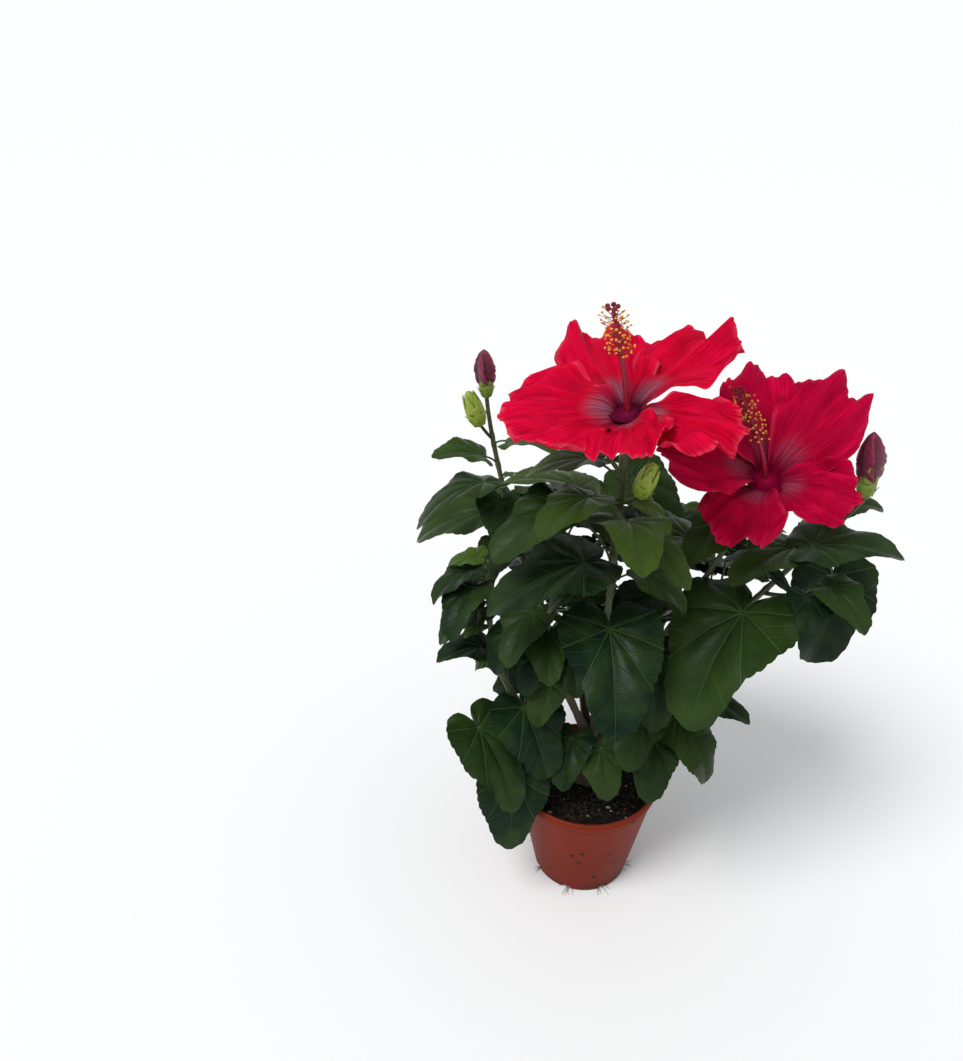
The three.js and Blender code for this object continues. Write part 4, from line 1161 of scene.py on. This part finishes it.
def sheetShell(points, thickness):
    # a grid of points given two skins, which share the points of the rim
    normal = np.cross(np.gradient(points, axis=0), np.gradient(points, axis=1))
    normal /= np.linalg.norm(normal, axis=-1)[..., None] + 1e-12
    inner = np.zeros(points.shape[:2], bool)
    inner[1:-1, 1:-1] = True
    half = (inner * thickness / 2)[..., None] * normal
    low = np.arange(inner.size).reshape(inner.shape)
    low[inner] = inner.size + np.arange(inner.sum())
    faces = gridFaces(points.shape[0] - 1, points.shape[1] - 1)
    both = np.concatenate([(points + half).reshape(-1, 3), (points - half)[inner]])
    return both, np.concatenate([faces, low.ravel()[faces][:, ::-1]]), inner


def petalMesh(flower, number):
    # sums of waves across and along the petal: pleats from its middle on, a crinkle down its sides,
    # a fringe at its tip, and corners that are calmer than the solids have them
    rows, columns = petalLook["rows"], petalLook["columns"]
    along, a = np.meshgrid(np.linspace(0, 1, rows + 1), np.linspace(-1, 1, columns + 1), indexing="ij")
    phase = petalPhase(flower, number)
    side = np.abs(a)
    folds = np.sin(10 * a + 1.5 * np.sin(3 * along + phase) + 2 * phase)
    folds = folds + 0.5 * np.sin(23 * a + 2 * along - phase)
    pleats = petalLook["pleat"] * folds * smooth(0.1, 0.6, along)
    sides = side**3 * smooth(0.15, 0.8, along)
    sides = sides * (np.sin(13 * along + 2 * a + phase) + 0.7 * np.sin(25 * along + a - 3 * phase))
    fringe = smooth(0.45, 1, along)
    fringe = fringe * (np.sin(8.5 * a + 2 * along + 3 * phase) + 0.6 * np.sin(17 * a - 2 * phase))
    fringe = fringe + 0.35 * along**4 * np.sin(36 * a + phase)
    waves = petalLook["crinkle"] * (sides + fringe) * (1 - 0.8 * side**4 * along**3)
    calm = petalLook["corner"] * petalForm["ruffle"] * side**4 * along**5
    waves = waves - calm * petalRuffles(along, a, phase)
    notch = np.sin(11 * a + 2 * phase) + 0.7 * np.sin(23 * a + phase) + 0.5 * np.sin(43 * a)
    points = petalPoint(flower, number, along, a, pleats + waves, petalLook["notch"] * notch)
    shell, faces, inner = sheetShell(points, petalLook["thickness"])
    flat = np.stack([a.ravel(), along.ravel()], 1)
    rim = np.concatenate([~inner.ravel(), np.zeros(inner.sum(), bool)])
    return shell, faces, np.concatenate([flat, flat[inner.ravel()]]), rim


def funnelMesh(flower):
    # its flat places are all 0, where the petals' red is the throat's
    heights, radii = np.transpose(petalLook["funnel"])
    path = flower["at"] + np.outer(heights, flower["frame"][0])
    points, faces = tube(path, radii, petalLook["funnelSides"])
    return points, faces, np.zeros((len(points), 2)), np.zeros(len(points), bool)


def petalMaterial():
    # red from a near-black throat, with pale streaks round it and fine lines that fan out to the hem
    look = Look("petalRed", Roughness=petalLook["roughness"], Specular_IOR_Level=petalLook["shine"])
    flat = look.flat()
    parts = look.parts(flat)
    aside, along, paintedShade = look.maths("ABSOLUTE", parts[0]), parts[1], look.mark("paintedShade")
    shift = look.node("CombineXYZ", {2: look.mark("petal")})[0]
    place = look.node("VectorMath", {0: flat, 1: shift}, operation="ADD")[0]
    streaks = look.noise(look.scaled(place, 30, 1.6, 1), 1.0, 3.0, 0.55)
    lines = look.noise(look.scaled(place, 75, 2.5, 1), 1.0, 2.0)
    clouds = look.noise(place, 3.5, 3.0)
    reach = look.maths("ADD", along, look.times(look.maths("SUBTRACT", streaks, 0.5), 0.22))
    # on the second flower the painted shade also pulls the throat's dark and the crimson further out
    reach = look.maths("SUBTRACT", reach, look.times(paintedShade, 0.07))
    stops = [(0.0, "throat"), (0.1, "throat"), (0.22, "crimson"), (0.36, "red"), (1.0, "tipRed")]
    colour = look.ramp(reach, [(stop, petalLook[tint]) for stop, tint in stops])
    band = look.times(look.fade(reach, 0.1, 0.18), look.fade(reach, 0.24, 0.42, 1, 0))
    pale = look.times(look.times(band, look.fade(aside, 0.1, 0.85, 1, 0.1)),
                      look.fade(streaks, 0.4, 0.62, 0.1, 0.95))
    rim = look.maths("MAXIMUM", look.fade(along, 0.94, 1.0), look.fade(aside, 0.93, 1.0))
    # painted highlight: lighter magenta patches where the clouds are low and the streaks high, away from the
    # throat
    paintedHighlight = look.times(look.fade(clouds, 0.3, 0.5, 1, 0), look.fade(streaks, 0.35, 0.6, 0.2, 1))
    paintedHighlight = look.times(paintedHighlight, look.fade(reach, 0.35, 0.6))
    colour = look.layered(
        colour,
        (look.fade(clouds, 0.45, 0.75, 0, 0.45), petalLook["shade"]),
        (look.fade(lines, 0.5, 0.7, 0, 0.6), petalLook["shade"]),
        (pale, petalLook["pale"]),
        (look.times(rim, look.fade(streaks, 0.4, 0.6, 0.0, 0.5)), petalLook["hem"]),
        # painted shade over the whole second flower
        (look.times(paintedShade, 0.6), petalLook["paintedShade"]),
        (look.times(paintedHighlight, 0.55), petalLook["paintedHighlight"]),
    )
    return look.finish(colour, look.maths("ADD", lines, look.times(streaks, 0.8)), 0.0012)


def makePetals():
    # the parts of the second flower are marked for the painted shade that darkens that whole flower
    parts, paintedShade = [], []
    for number, flower in enumerate(openFlowers):
        parts += [petalMesh(flower, petal) for petal in range(flowerForm["petals"])] + [funnelMesh(flower)]
        paintedShade += [float(number)] * (len(parts) - len(paintedShade))
    points, faces, owner = joined(parts)
    flat, rim = [np.concatenate([part[index] for part in parts]) for index in (2, 3)]
    makePiece("petals", (points, faces), petalMaterial(), flowerNodes, flat,
              dict(petal=owner * 3.7, paintedShade=np.array(paintedShade)[owner]), rim)


makePetals()


# Columns: a slim crimson tube, stamens on its upper third, and five furry pads

columnLook = dict(
    rings=44, sides=14, taper=0.4, ribs=0.07, stamens=92, span=[0.66, 0.98], stamen=[3.5, 8],
    stamenRadii=[0.25, 0.22, 0.2, 0.18], stamenTurn=2.4, stamenLean=[60, 85], anther=[0.65, 0.95],
    pads=5, padRadius=1.7, padFoot=0.985, crimson=[(0.20, 0.0, 0.018, 1), (0.34, 0.004, 0.03, 1)],
    pollen=[(0.72, 0.22, 0.02, 1), (0.85, 0.42, 0.05, 1)],
    maroon=[(0.12, 0.0, 0.010, 1), (0.28, 0.0, 0.02, 1)],
)


def rounded(centre, axis, length, radius, sides, rings):
    # a bead: rings whose radius is a half circle's along the axis
    share = np.linspace(0.04, 0.96, rings)
    radii = radius * np.sqrt(1 - (2 * share - 1) ** 2)
    return tube(centre + np.outer((share - 0.5) * length, axis), radii, sides)


def columnMeshes(flower):
    axis = flower["frame"][0]
    way = unit(np.array(flower["column"], float))
    top = flower["at"] + axis * flowerForm["cup"] + way * flowerForm["column"]
    foot = flower["at"] + axis * 0.5 * flowerForm["cup"]
    bow = flower["at"] + axis * (flowerForm["cup"] + 0.4 * flowerForm["column"])
    tipWay = unit(top - bow)
    share = np.linspace(0, 1, columnLook["rings"])[:, None]
    ribs = 1 + columnLook["ribs"] * np.cos(5 * turns(columnLook["sides"]) + 3 * share)
    radii = flowerForm["columnRadius"] * (1 - columnLook["taper"] * share) * ribs
    columns = [bowTube(foot, bow, top, radii, columnLook["sides"])]
    anthers, pads = [], []
    for stamen in range(columnLook["stamens"]):
        draws = chances(31 + flower["seed"], 5 * stamen + 5)[-5:]
        place = within(columnLook["span"], (stamen + draws[0]) / columnLook["stamens"])
        root = bowPoint(foot, bow, top, place)
        aside = around(flower["frame"], columnLook["stamenTurn"] * stamen)
        length = within(columnLook["stamen"], draws[1]) + flowerForm["columnRadius"]
        lean = math.radians(within(columnLook["stamenLean"], draws[2]))
        tip = root + aside * length * math.sin(lean) + tipWay * length * math.cos(lean)
        columns.append(bowTube(root, root + aside * 0.5 * length, tip, columnLook["stamenRadii"], 4))
        across = unit(np.cross(aside, tipWay) + 0.6 * (draws[3] - 0.5) * tipWay)
        anthers.append(rounded(tip, across, 2.0, within(columnLook["anther"], draws[4]), 6, 4))
    root = bowPoint(foot, bow, top, columnLook["padFoot"])
    for pad in range(columnLook["pads"]):
        aside = around(flower["frame"], 2 * math.pi * pad / columnLook["pads"])
        tip = root + (0.616 * aside + 0.788 * tipWay) * flowerForm["pad"]
        columns.append(bowTube(root, root + tipWay * 0.55 * flowerForm["pad"], tip, np.full(6, 0.5), 7))
        pads.append(rounded(tip, tipWay, 3.0, columnLook["padRadius"], 12, 8))
    return columns, anthers, pads


def makeColumns():
    found = [columnMeshes(flower) for flower in openFlowers]
    columns, anthers, pads = [[shape for shapes in kind for shape in shapes] for kind in zip(*found)]
    crimson = plainMaterial("columnCrimson", *columnLook["crimson"], 400.0, 0.45, 0.0002)
    pollen = plainMaterial("antherYellow", *columnLook["pollen"], 700.0, 0.8, 0.0004)
    velvet = plainMaterial("padMaroon", *columnLook["maroon"], 1500.0, 0.85, 0.0006, Sheen_Weight=0.1)
    makePiece("columns", joined(columns), crimson, flowerNodes)
    makePiece("anthers", joined(anthers), pollen, flowerNodes)
    makePiece("pads", joined(pads), velvet, flowerNodes)


makeColumns()


# Cups and buds: a ribbed green cup with pointed lobes and thin bracts, and a furled spiral in it
# A bract is its height, its width as a share of the cup's radius, and its lean.

budLook = dict(
    cupSides=25, cupShares=[0, 0.12, 0.3, 0.6, 1], cupRadii=[0.6, 0.88, 1, 0.94], bracts=7,
    bract=[9, 0.22, 24], openSpread=50, shut=20, greenSize=1.1, greenTip=[9, 29], spiral=2.86, fold=0.3,
    wrinkle=0.06, rings=60, sides=50, tip=0.5, cup=(0.045, 0.10, 0.018, 1), freshCup=(0.27, 0.37, 0.04, 1),
    tan=(0.25, 0.22, 0.03, 1), vein=(0.06, 0.0, 0.012, 1),
    # the maroon ramp paints shade where each furled petal tucks under the next one's edge
    maroon=[(0.0, (0.02, 0.0, 0.006)), (0.25, (0.10, 0.0, 0.02)), (0.8, (0.19, 0.001, 0.035)),
            (0.93, (0.26, 0.004, 0.06)), (1.0, (0.55, 0.08, 0.20))],
)


def lobeMesh(at, axis, aside, foot, radius, length, halfWidth, spread):
    # a pointed tongue that leaves the cup's side and leans out by its spread
    along, across = np.meshgrid(np.linspace(0, 1, 10), np.linspace(-1, 1, 7), indexing="ij")
    width = halfWidth * (1 - along**1.7) * (0.85 + 0.5 * np.sin(np.pi * along) * 0.5)
    lean = np.radians(spread) * (0.4 + 0.6 * along)
    out = radius + length * along * np.sin(lean) - 0.25 * halfWidth * across**2
    high = foot + length * along * np.cos(lean)
    sideways = (across * width)[..., None] * np.cross(axis, aside)
    return sheetShell(at + high[..., None] * axis + out[..., None] * aside + sideways, 0.5)[:2]


def cupMeshes(at, flowerAxes, size, spread):
    axis = flowerAxes[0]
    length, radius = flowerForm["cup"] * size, flowerForm["cupRadius"] * size
    share = np.linspace(0, 1, 12)
    profile = np.interp(share, budLook["cupShares"], [limb["tip"] / radius] + budLook["cupRadii"])
    radii = (radius * profile)[:, None] * (1 + 0.03 * np.cos(5 * turns(budLook["cupSides"])))
    shapes = [tube(at + np.outer(share * length, axis), radii, budLook["cupSides"])]
    for lobe in range(5):
        aside = around(flowerAxes, 2 * math.pi * (lobe + 0.5) / 5)
        shapes.append(lobeMesh(at, axis, aside, 0.7 * length, 0.97 * radius, 1.2 * flowerForm["lobe"] * size,
                               0.6 * radius, spread))
    tall, width, lean = budLook["bract"]
    for bract in range(budLook["bracts"]):
        aside = around(flowerAxes, 2 * math.pi * bract / budLook["bracts"] + 0.3)
        shapes.append(lobeMesh(at, axis, aside, 0.12 * length, 0.7 * radius, tall * size,
                               width * radius, lean))
    return shapes


def furledMesh(bud):
    # a spindle whose radius steps up by a saw that winds round it, one step for each petal
    share = np.linspace(0, 1, budLook["rings"])
    radii = np.interp(share, budForm["shares"], budForm["radii"] + [budLook["tip"]]) * bud["size"]
    turn = np.arange(budLook["sides"]) / budLook["sides"]
    saw = (5 * turn + budLook["spiral"] * share[:, None]) % 1
    wrinkles = np.sin(31 * share[:, None] + 9 * saw) * np.sin(2 * np.pi * saw + 13 * share[:, None])
    radii = radii[:, None] * (0.94 + budLook["fold"] * (saw**1.5 - 0.5) + budLook["wrinkle"] * wrinkles)
    path = bud["at"] + np.outer(budForm["foot"] + bud["furled"] * share, bud["frame"][0]) * bud["size"]
    return *tube(path, radii, budLook["sides"], 3), saw.ravel()


def greenTipMesh(bud, size):
    # what shows between the lobes of a green bud: a blunt cone
    share = np.linspace(0, 1, 12)
    radii = 0.93 * flowerForm["cupRadius"] * size * np.sqrt(1 - share**1.8)
    radii[-1] = 0.3
    return tube(bud["at"] + np.outer(within(budLook["greenTip"], share) * size, bud["frame"][0]), radii, 15)


def cupMaterial():
    look = Look("cupGreen", Roughness=0.5)
    grain = look.noise(look.place(), 300.0, 3.0)
    green = look.layered(budLook["cup"], (look.mark("fresh"), budLook["freshCup"]),
                         (look.fade(grain, 0.5, 0.75, 0, 0.4), budLook["tan"]))
    return look.finish(green, grain, 0.0003)


def budMaterial():
    look = Look("budMaroon", Roughness=0.42, Sheen_Weight=0.2)
    grain = look.noise(look.place(), 420.0, 3.0)
    # along the saw the colour runs from near-black, painted shade where each furled petal tucks under the
    # next, to the crimson-pink of its free edge
    red = look.layered(look.ramp(look.mark("saw"), budLook["maroon"]),
                       (look.fade(grain, 0.5, 0.7, 0, 0.5), budLook["vein"]))
    return look.finish(red, grain, 0.0003)


def makeBuds():
    # each cup has its share of the fresh green, by what it holds
    cups, fresh, furled = [], [], []

    def keepCup(shapes, share):
        cups.extend(shapes)
        fresh.extend([share] * len(shapes))

    for mass in masses:
        if mass["flower"]:
            keepCup(cupMeshes(mass["flower"]["at"], mass["flower"]["frame"], 1, budLook["openSpread"]), 0.5)
        for bud in mass["buds"]:
            if bud["furled"] > 0:
                furled.append(furledMesh(bud))
                keepCup(cupMeshes(bud["at"], bud["frame"], bud["size"] * budForm["cup"], bud["open"]), 0.6)
            else:
                size = bud["size"] * budLook["greenSize"]
                found = cupMeshes(bud["at"], bud["frame"], size, bud["open"] - budLook["shut"])
                keepCup(found + [greenTipMesh(bud, size)], 1.0)
    points, faces, owner = joined(cups)
    makePiece("cups", (points, faces), cupMaterial(), foliageNodes,
              marks=dict(fresh=np.array(fresh)[owner]))
    makePiece("furledBuds", joined(furled), budMaterial(),
              ["foliage_farRight", "foliage_leftBud", "foliage_centre", "foliage_back"],
              marks=dict(saw=np.concatenate([shape[2] for shape in furled])))


makeBuds()


# Pot: a turned wall with a rolled rim, dented at its foot by eight drain notches

potLook = dict(
    foot=43, wall=1.8, floor=2.4, lip=9, lipStep=2.4, roll=1.5, notches=8, notchWidth=8, notchHeight=5,
    notchDepth=6, roughness=0.45, shine=0.07,
    clay=(0.158, 0.015, 0.005, 1), paintedLightClay=(0.212, 0.025, 0.010, 1), dirt=(0.018, 0.011, 0.008, 1),
)


def wallRadius(z):
    return blend(potLook["foot"], rimRadius - potLook["lipStep"], z / (potHeight - potLook["lip"]))


def potProfile():
    # radius and height from the middle of the underside, up the outside, over the rim and down inside
    wall, floor, roll = potLook["wall"], potLook["floor"], potLook["roll"]
    lipFoot = potHeight - potLook["lip"]
    under = np.linspace(0, potLook["foot"] - 1.6, 12)
    low = np.linspace(1.6, potLook["notchHeight"] + 3, 8)
    outside = [(r, 0.0) for r in under] + [(potLook["foot"] - 0.7, 0.3), (potLook["foot"] - 0.1, 0.9)]
    outside += [(wallRadius(z), z) for z in [*low, *np.linspace(20, lipFoot - 6, 8)]]
    outside += [(wallRadius(lipFoot - 4) + 0.25, lipFoot - 4), (wallRadius(lipFoot - 2.6), lipFoot - 2.6)]
    outside += [(wallRadius(lipFoot - 0.3), lipFoot - 0.3), (wallRadius(lipFoot) + 0.9, lipFoot + 0.3)]
    skirt = [(rimRadius - 1.0, lipFoot + 0.5), (rimRadius - 0.5, lipFoot + 1.2)]
    skirt += [(rimRadius - 0.3, potHeight - 3.6)]
    lip = [(rimRadius - roll + roll * math.cos(turn), potHeight - roll + roll * math.sin(turn))
           for turn in np.radians(np.linspace(-70, 190, 18))]
    inside = [(rimRadius - 3.4, potHeight - 4)]
    inside += [(wallRadius(z) - wall, z) for z in np.linspace(lipFoot - 1, floor + 0.8, 8)]
    inside += [(wallRadius(0) - wall - 1, floor), (20, floor), (0.0, floor)]
    return np.array(outside + skirt + lip + inside)


def notchTurn(number):
    return 2 * np.pi * (number + 0.5) / potLook["notches"]


def potMesh():
    # the profile turned, with rings of places close together about each notch, where its foot is dented
    profile = potProfile()
    centres = notchTurn(np.arange(potLook["notches"]))
    half = potLook["notchWidth"] / 2 / potLook["foot"]
    steps = np.concatenate([[-1.04, -1.0], np.linspace(-0.7, 0.7, 5), [1.0, 1.04]]) * half
    between = np.linspace(half * 1.04, 2 * np.pi / potLook["notches"] - half * 1.04, 16)[1:-1]
    ways = (centres[:, None] + np.concatenate([steps, between])).ravel()
    inNotch = np.concatenate([[0], np.ones(len(steps) - 2), np.zeros(len(between) + 1)])
    chosen = np.tile(inNotch, len(centres)) > 0
    radius, height = [np.repeat(profile[:, index, None], len(ways), 1) for index in (0, 1)]
    outer = np.arange(len(profile)) < np.argmax(profile[:, 1] > 15)
    inner = potLook["foot"] - potLook["notchDepth"]
    near = outer & (profile[:, 0] > inner) & (profile[:, 1] < potLook["notchHeight"])
    share = np.linspace(0, 1, near.sum())[:, None]
    wall = blend(inner, wallRadius(potLook["notchHeight"]), 2 * share - 1)
    radius[np.ix_(near, chosen)] = np.where(share < 0.5, inner, wall)
    height[np.ix_(near, chosen)] = potLook["notchHeight"] * np.minimum(1, 2 * share)
    points = np.stack([radius * np.cos(ways), radius * np.sin(ways), height], -1)[1:-1].reshape(-1, 3)
    hub, spot = len(points), np.arange(len(ways))
    return np.concatenate([points, [[0, 0, 0], [0, 0, potLook["floor"]]]]), np.concatenate([
        ringFaces(len(profile) - 2, len(ways)), fanFaces(hub, spot)[:, ::-1],
        fanFaces(hub + 1, hub - len(ways) + spot),
    ])


def potMaterial():
    # moulded plastic, made lighter towards the rim by painted light, with a few specks of peat and a dusty
    # foot
    look = Look("potPlastic", Roughness=potLook["roughness"], Specular_IOR_Level=potLook["shine"])
    place = look.place()
    height = look.parts(place)[2]
    clouds = look.noise(place, 22.0, 4.0)
    specks = look.node("TexVoronoi", {"Vector": place, "Scale": 95.0})["Distance"]
    rare = look.maths("GREATER_THAN", look.noise(place, 30.0, 1.0), 0.5)
    colour = look.layered(
        potLook["clay"],
        # painted light: the wall grows lighter with height, up to the rim
        (look.fade(height, 0.02, 0.108, 0.1, 0.75), potLook["paintedLightClay"]),
        (look.fade(clouds, 0.4, 0.7, 0, 0.35), potLook["clay"]),
        (look.times(look.fade(height, 0.0, 0.018, 0.55, 0), look.fade(clouds, 0.4, 0.6)), potLook["dirt"]),
        (look.times(look.maths("LESS_THAN", specks, 0.2), rare), potLook["dirt"]),
    )
    return look.finish(colour, look.noise(look.scaled(place, 1, 1, 30), 40.0, 2.0), 0.00015, 0.5)


makePiece("plantPot", potMesh(), potMaterial(), ["pot"])


# Soil: peat in lumps of three sizes, with bits and fibres on it, and root hairs at the drain notches
# Lumps are pairs of a size and a depth. A dip is the soil's height at a share of its radius.

soilLook = dict(
    rings=58, sides=150, lumps=[(10, 1.9), (4.2, 1.3), (1.9, 0.8)], edgeTop=96.5,
    dip=[[0, 99], [0.45, 98.5], [0.66, 98], [0.85, 97.5], [1, 96.5]], footClear=12.0,
    bits=260, bitEdge=55, bitShape=[1.4, 0.8, 0.6], bitSize=[0.5, 2.2], fibres=150, fibreEdge=50,
    fibre=0.16, fibreLength=[4, 14], fibreBend=0.25, hairs=70, hairFoot=37.2, hair=[0.2, 0.1],
    hairSide=0.17, hairTurn=1.2, hairLength=[7, 16], hairStart=[1.2, 4.2], hairEnd=[0.3, 0.8], hairRise=1.5,
    peat=[(0.003, 0.0026, 0.0022, 1), (0.015, 0.011, 0.008, 1)],
    crumbs=[(0.0, (0.012, 0.008, 0.006)), (0.55, (0.045, 0.028, 0.016)), (0.82, (0.11, 0.07, 0.035)),
            (0.95, (0.35, 0.31, 0.24))],
    brown=[(0.05, 0.028, 0.014, 1), (0.14, 0.085, 0.045, 1)],
    root=[(0.02, 0.012, 0.008, 1), (0.07, 0.045, 0.03, 1)],
)


def lattice(x, y, seed):
    wave = np.sin(x * 12.9898 + y * 78.233 + seed * 37.7) * 43758.5453
    return wave - np.floor(wave)


def lump(x, y, size, seed):
    # draws at the corners of a square lattice, blended smoothly in between
    u, v = x / size, y / size
    i, j = np.floor(u), np.floor(v)
    s, t = smooth(0, 1, u - i), smooth(0, 1, v - j)
    near = blend(lattice(i, j, seed), lattice(i + 1, j, seed), s)
    far = blend(lattice(i, j + 1, seed), lattice(i + 1, j + 1, seed), s)
    return blend(near, far, t) - 0.5


def soilRadius(z):
    return wallRadius(z) - potLook["wall"] - trunk["gap"]


def soilHeight(x, y):
    # dished towards its edge, and lumpy apart from the trunk's foot and the edge
    edge = soilRadius(soilLook["edgeTop"])
    radius = np.hypot(x, y)
    base = np.interp(radius / edge, *np.transpose(soilLook["dip"]))
    calm = smooth(6, 14, radius) * smooth(edge + 0.1, edge - 4, radius)
    rough = sum(depth * lump(x, y, size, 5 + size) for size, depth in soilLook["lumps"])
    return base + rough * calm


def soilMesh():
    rings, sides = soilLook["rings"], soilLook["sides"]
    radius = soilRadius(soilLook["edgeTop"]) * np.linspace(0, 1, rings + 1)[1:, None]
    turn = turns(sides)
    x, y = radius * np.cos(turn), radius * np.sin(turn)
    top = np.stack([x, y, soilHeight(x, y)], -1).reshape(-1, 3)
    foot, base = soilRadius(potLook["floor"]), potLook["floor"] + trunk["gap"]
    low = np.stack([foot * np.cos(turn), foot * np.sin(turn), 0 * turn + base], -1)
    points = np.concatenate([top, low, [[0, 0, float(soilHeight(0.0, 0.0))], [0, 0, base]]])
    hub, spot = len(points) - 2, np.arange(sides)
    return points, np.concatenate([
        ringFaces(rings + 1, sides)[:, ::-1], fanFaces(hub, spot),
        fanFaces(hub + 1, rings * sides + spot)[:, ::-1],
    ])


def scattered(count, seed, edge):
    # places spread evenly over the soil outside the trunk's foot, and two draws for each
    draws = chances(seed, count * 4).reshape(count, 4)
    radius = np.sqrt(blend(soilLook["footClear"]**2, edge**2, draws[:, 0]))
    turn = 2 * np.pi * draws[:, 1]
    return radius * np.cos(turn), radius * np.sin(turn), draws[:, 2:]


def bitMeshes():
    # flattened eight-sided crumbs, turned and sized by their draws, and the draw that colours each
    x, y, draws = scattered(soilLook["bits"], 11.3, soilLook["bitEdge"])
    corners = np.array([[1, 0, 0], [0, 1, 0], [-1, 0, 0], [0, -1, 0], [0, 0, 1], [0, 0, -1]], float)
    faces = np.array([[0, 1, 4], [1, 2, 4], [2, 3, 4], [3, 0, 4],
                      [1, 0, 5], [2, 1, 5], [3, 2, 5], [0, 3, 5]])
    size = within(soilLook["bitSize"], draws[:, 0] ** 2)
    turn = 6.28 * draws[:, 1, None]
    shape = corners[None] * (size[:, None] * soilLook["bitShape"])[:, None]
    spun = np.stack([
        shape[..., 0] * np.cos(turn) - shape[..., 1] * np.sin(turn),
        shape[..., 0] * np.sin(turn) + shape[..., 1] * np.cos(turn), shape[..., 2],
    ], -1)
    places = np.stack([x, y, soilHeight(x, y) + 0.2], -1)[:, None]
    return [(points, faces) for points in spun + places], draws[:, 1]


def fibreMeshes():
    # thin bows that lie on the soil and rise a little at their middle
    shapes = []
    for x, y, draw in zip(*scattered(soilLook["fibres"], 23.9, soilLook["fibreEdge"])):
        turn, length = 6.28 * draw[0], within(soilLook["fibreLength"], draw[1])
        start = np.array([x, y, soilHeight(x, y) + 0.1])
        way = np.array([math.cos(turn), math.sin(turn), 0.0])
        end = start + way * length
        end[2] = soilHeight(end[0], end[1]) + 0.3
        bend = (start + end) / 2 + np.array([-way[1], way[0], 0.7]) * length * soilLook["fibreBend"]
        shapes.append(bowTube(start, bend, end, np.full(6, soilLook["fibre"]), 3))
    return shapes


def hairMeshes():
    # fine roots that come out of the drain notches and curl down to the floor
    foot = soilLook["hairFoot"]
    shapes = []
    for number, draw in enumerate(chances(41.7, soilLook["hairs"] * 6).reshape(-1, 6)):
        turn = notchTurn(number % potLook["notches"]) + (draw[0] - 0.5) * soilLook["hairSide"]
        high = within(soilLook["hairStart"], draw[1])
        start = np.array([foot * math.cos(turn), foot * math.sin(turn), high])
        away = turn + (draw[2] - 0.5) * soilLook["hairTurn"]
        length = within(soilLook["hairLength"], draw[3])
        end = start + np.array([math.cos(away), math.sin(away), 0]) * length
        end[2] = within(soilLook["hairEnd"], draw[4])
        bend = (start + end) / 2 + np.array([0, 0, soilLook["hairRise"] * draw[5]])
        shapes.append(bowTube(start, bend, end, np.linspace(*soilLook["hair"], 7), 3))
    return shapes


def crumbMaterial():
    look = Look("crumbs", Roughness=0.9)
    colour = look.ramp(look.mark("draw"), soilLook["crumbs"])
    return look.finish(colour, look.noise(look.place(), 900.0), 0.0003)


def makeSoil():
    peat = plainMaterial("peat", *soilLook["peat"], 260.0, 0.95, 0.001, Specular_IOR_Level=0.1)
    makePiece("peatSoil", soilMesh(), peat, ["soil"])
    bits, draws = bitMeshes()
    points, faces, owner = joined(bits)
    makePiece("soilCrumbs", (points, faces), crumbMaterial(), ["soil"],
              marks=dict(draw=draws[owner]))
    brown = plainMaterial("fibreBrown", *soilLook["brown"], 500.0, 0.85, 0.0002)
    makePiece("fibres", joined(fibreMeshes()), brown, ["soil"])
    dark = plainMaterial("rootBrown", *soilLook["root"], 500.0, 0.85, 0.0002)
    makePiece("rootHairs", joined(hairMeshes()), dark, ["soil"])


makeSoil()


# Floor, light and camera

stageLook = dict(floor=(0.92, 0.92, 0.92, 1), sky=(0.96, 0.98, 1.0, 1), skyStrength=0.6, reach=[40, 60],
                 sun=1.9, sunPlace=(-0.75, -0.75, 1.7), softness=26)


def makeStage():
    side, back = stageLook["reach"]
    mesh = bpy.data.meshes.new("floor")
    mesh.from_pydata([(-side, -side, 0), (side, -side, 0), (side, back, 0), (-side, back, 0)], [],
                     [(0, 1, 2, 3)])
    paper = Look("palePaper", Roughness=0.9)
    paper.shader.inputs["Base Color"].default_value = stageLook["floor"]
    mesh.materials.append(paper.material)
    inScene("floor", mesh)
    world = bpy.data.worlds.new("softSky")
    bpy.context.scene.world = world
    world.use_nodes = True
    background = next(found for found in world.node_tree.nodes if found.type == "BACKGROUND")
    background.inputs[0].default_value = stageLook["sky"]
    background.inputs[1].default_value = stageLook["skyStrength"]


def makeSun():
    # an even light over the whole floor, softened by its wide angle
    lamp = bpy.data.lights.new("keyLight", "SUN")
    lamp.energy = stageLook["sun"]
    lamp.angle = math.radians(stageLook["softness"])
    made = inScene("keyLight", lamp)
    x, y, z = made.location = stageLook["sunPlace"]
    made.rotation_euler = (0, math.atan2(math.hypot(x, y), z), math.atan2(y, x))


# The focal length and the picture's height are in its pixels.
cameraLook = dict(place=(-0.095, -0.643, 0.741), pitch=30.5, focal=963.0, imageHeight=1061.0, sensor=36.0,
                  near=0.01, far=200)


def makeCamera():
    camera = inScene("camera", bpy.data.cameras.new("camera"))
    camera.location = cameraLook["place"]
    camera.rotation_euler = (math.radians(90 - cameraLook["pitch"]), 0, 0)
    camera.data.sensor_width = cameraLook["sensor"]
    camera.data.lens = cameraLook["focal"] / cameraLook["imageHeight"] * cameraLook["sensor"]
    camera.data.clip_start, camera.data.clip_end = cameraLook["near"], cameraLook["far"]
    bpy.context.scene.camera = camera
    bpy.context.scene.view_settings.view_transform = "Standard"


makeStage()
makeSun()
makeCamera()
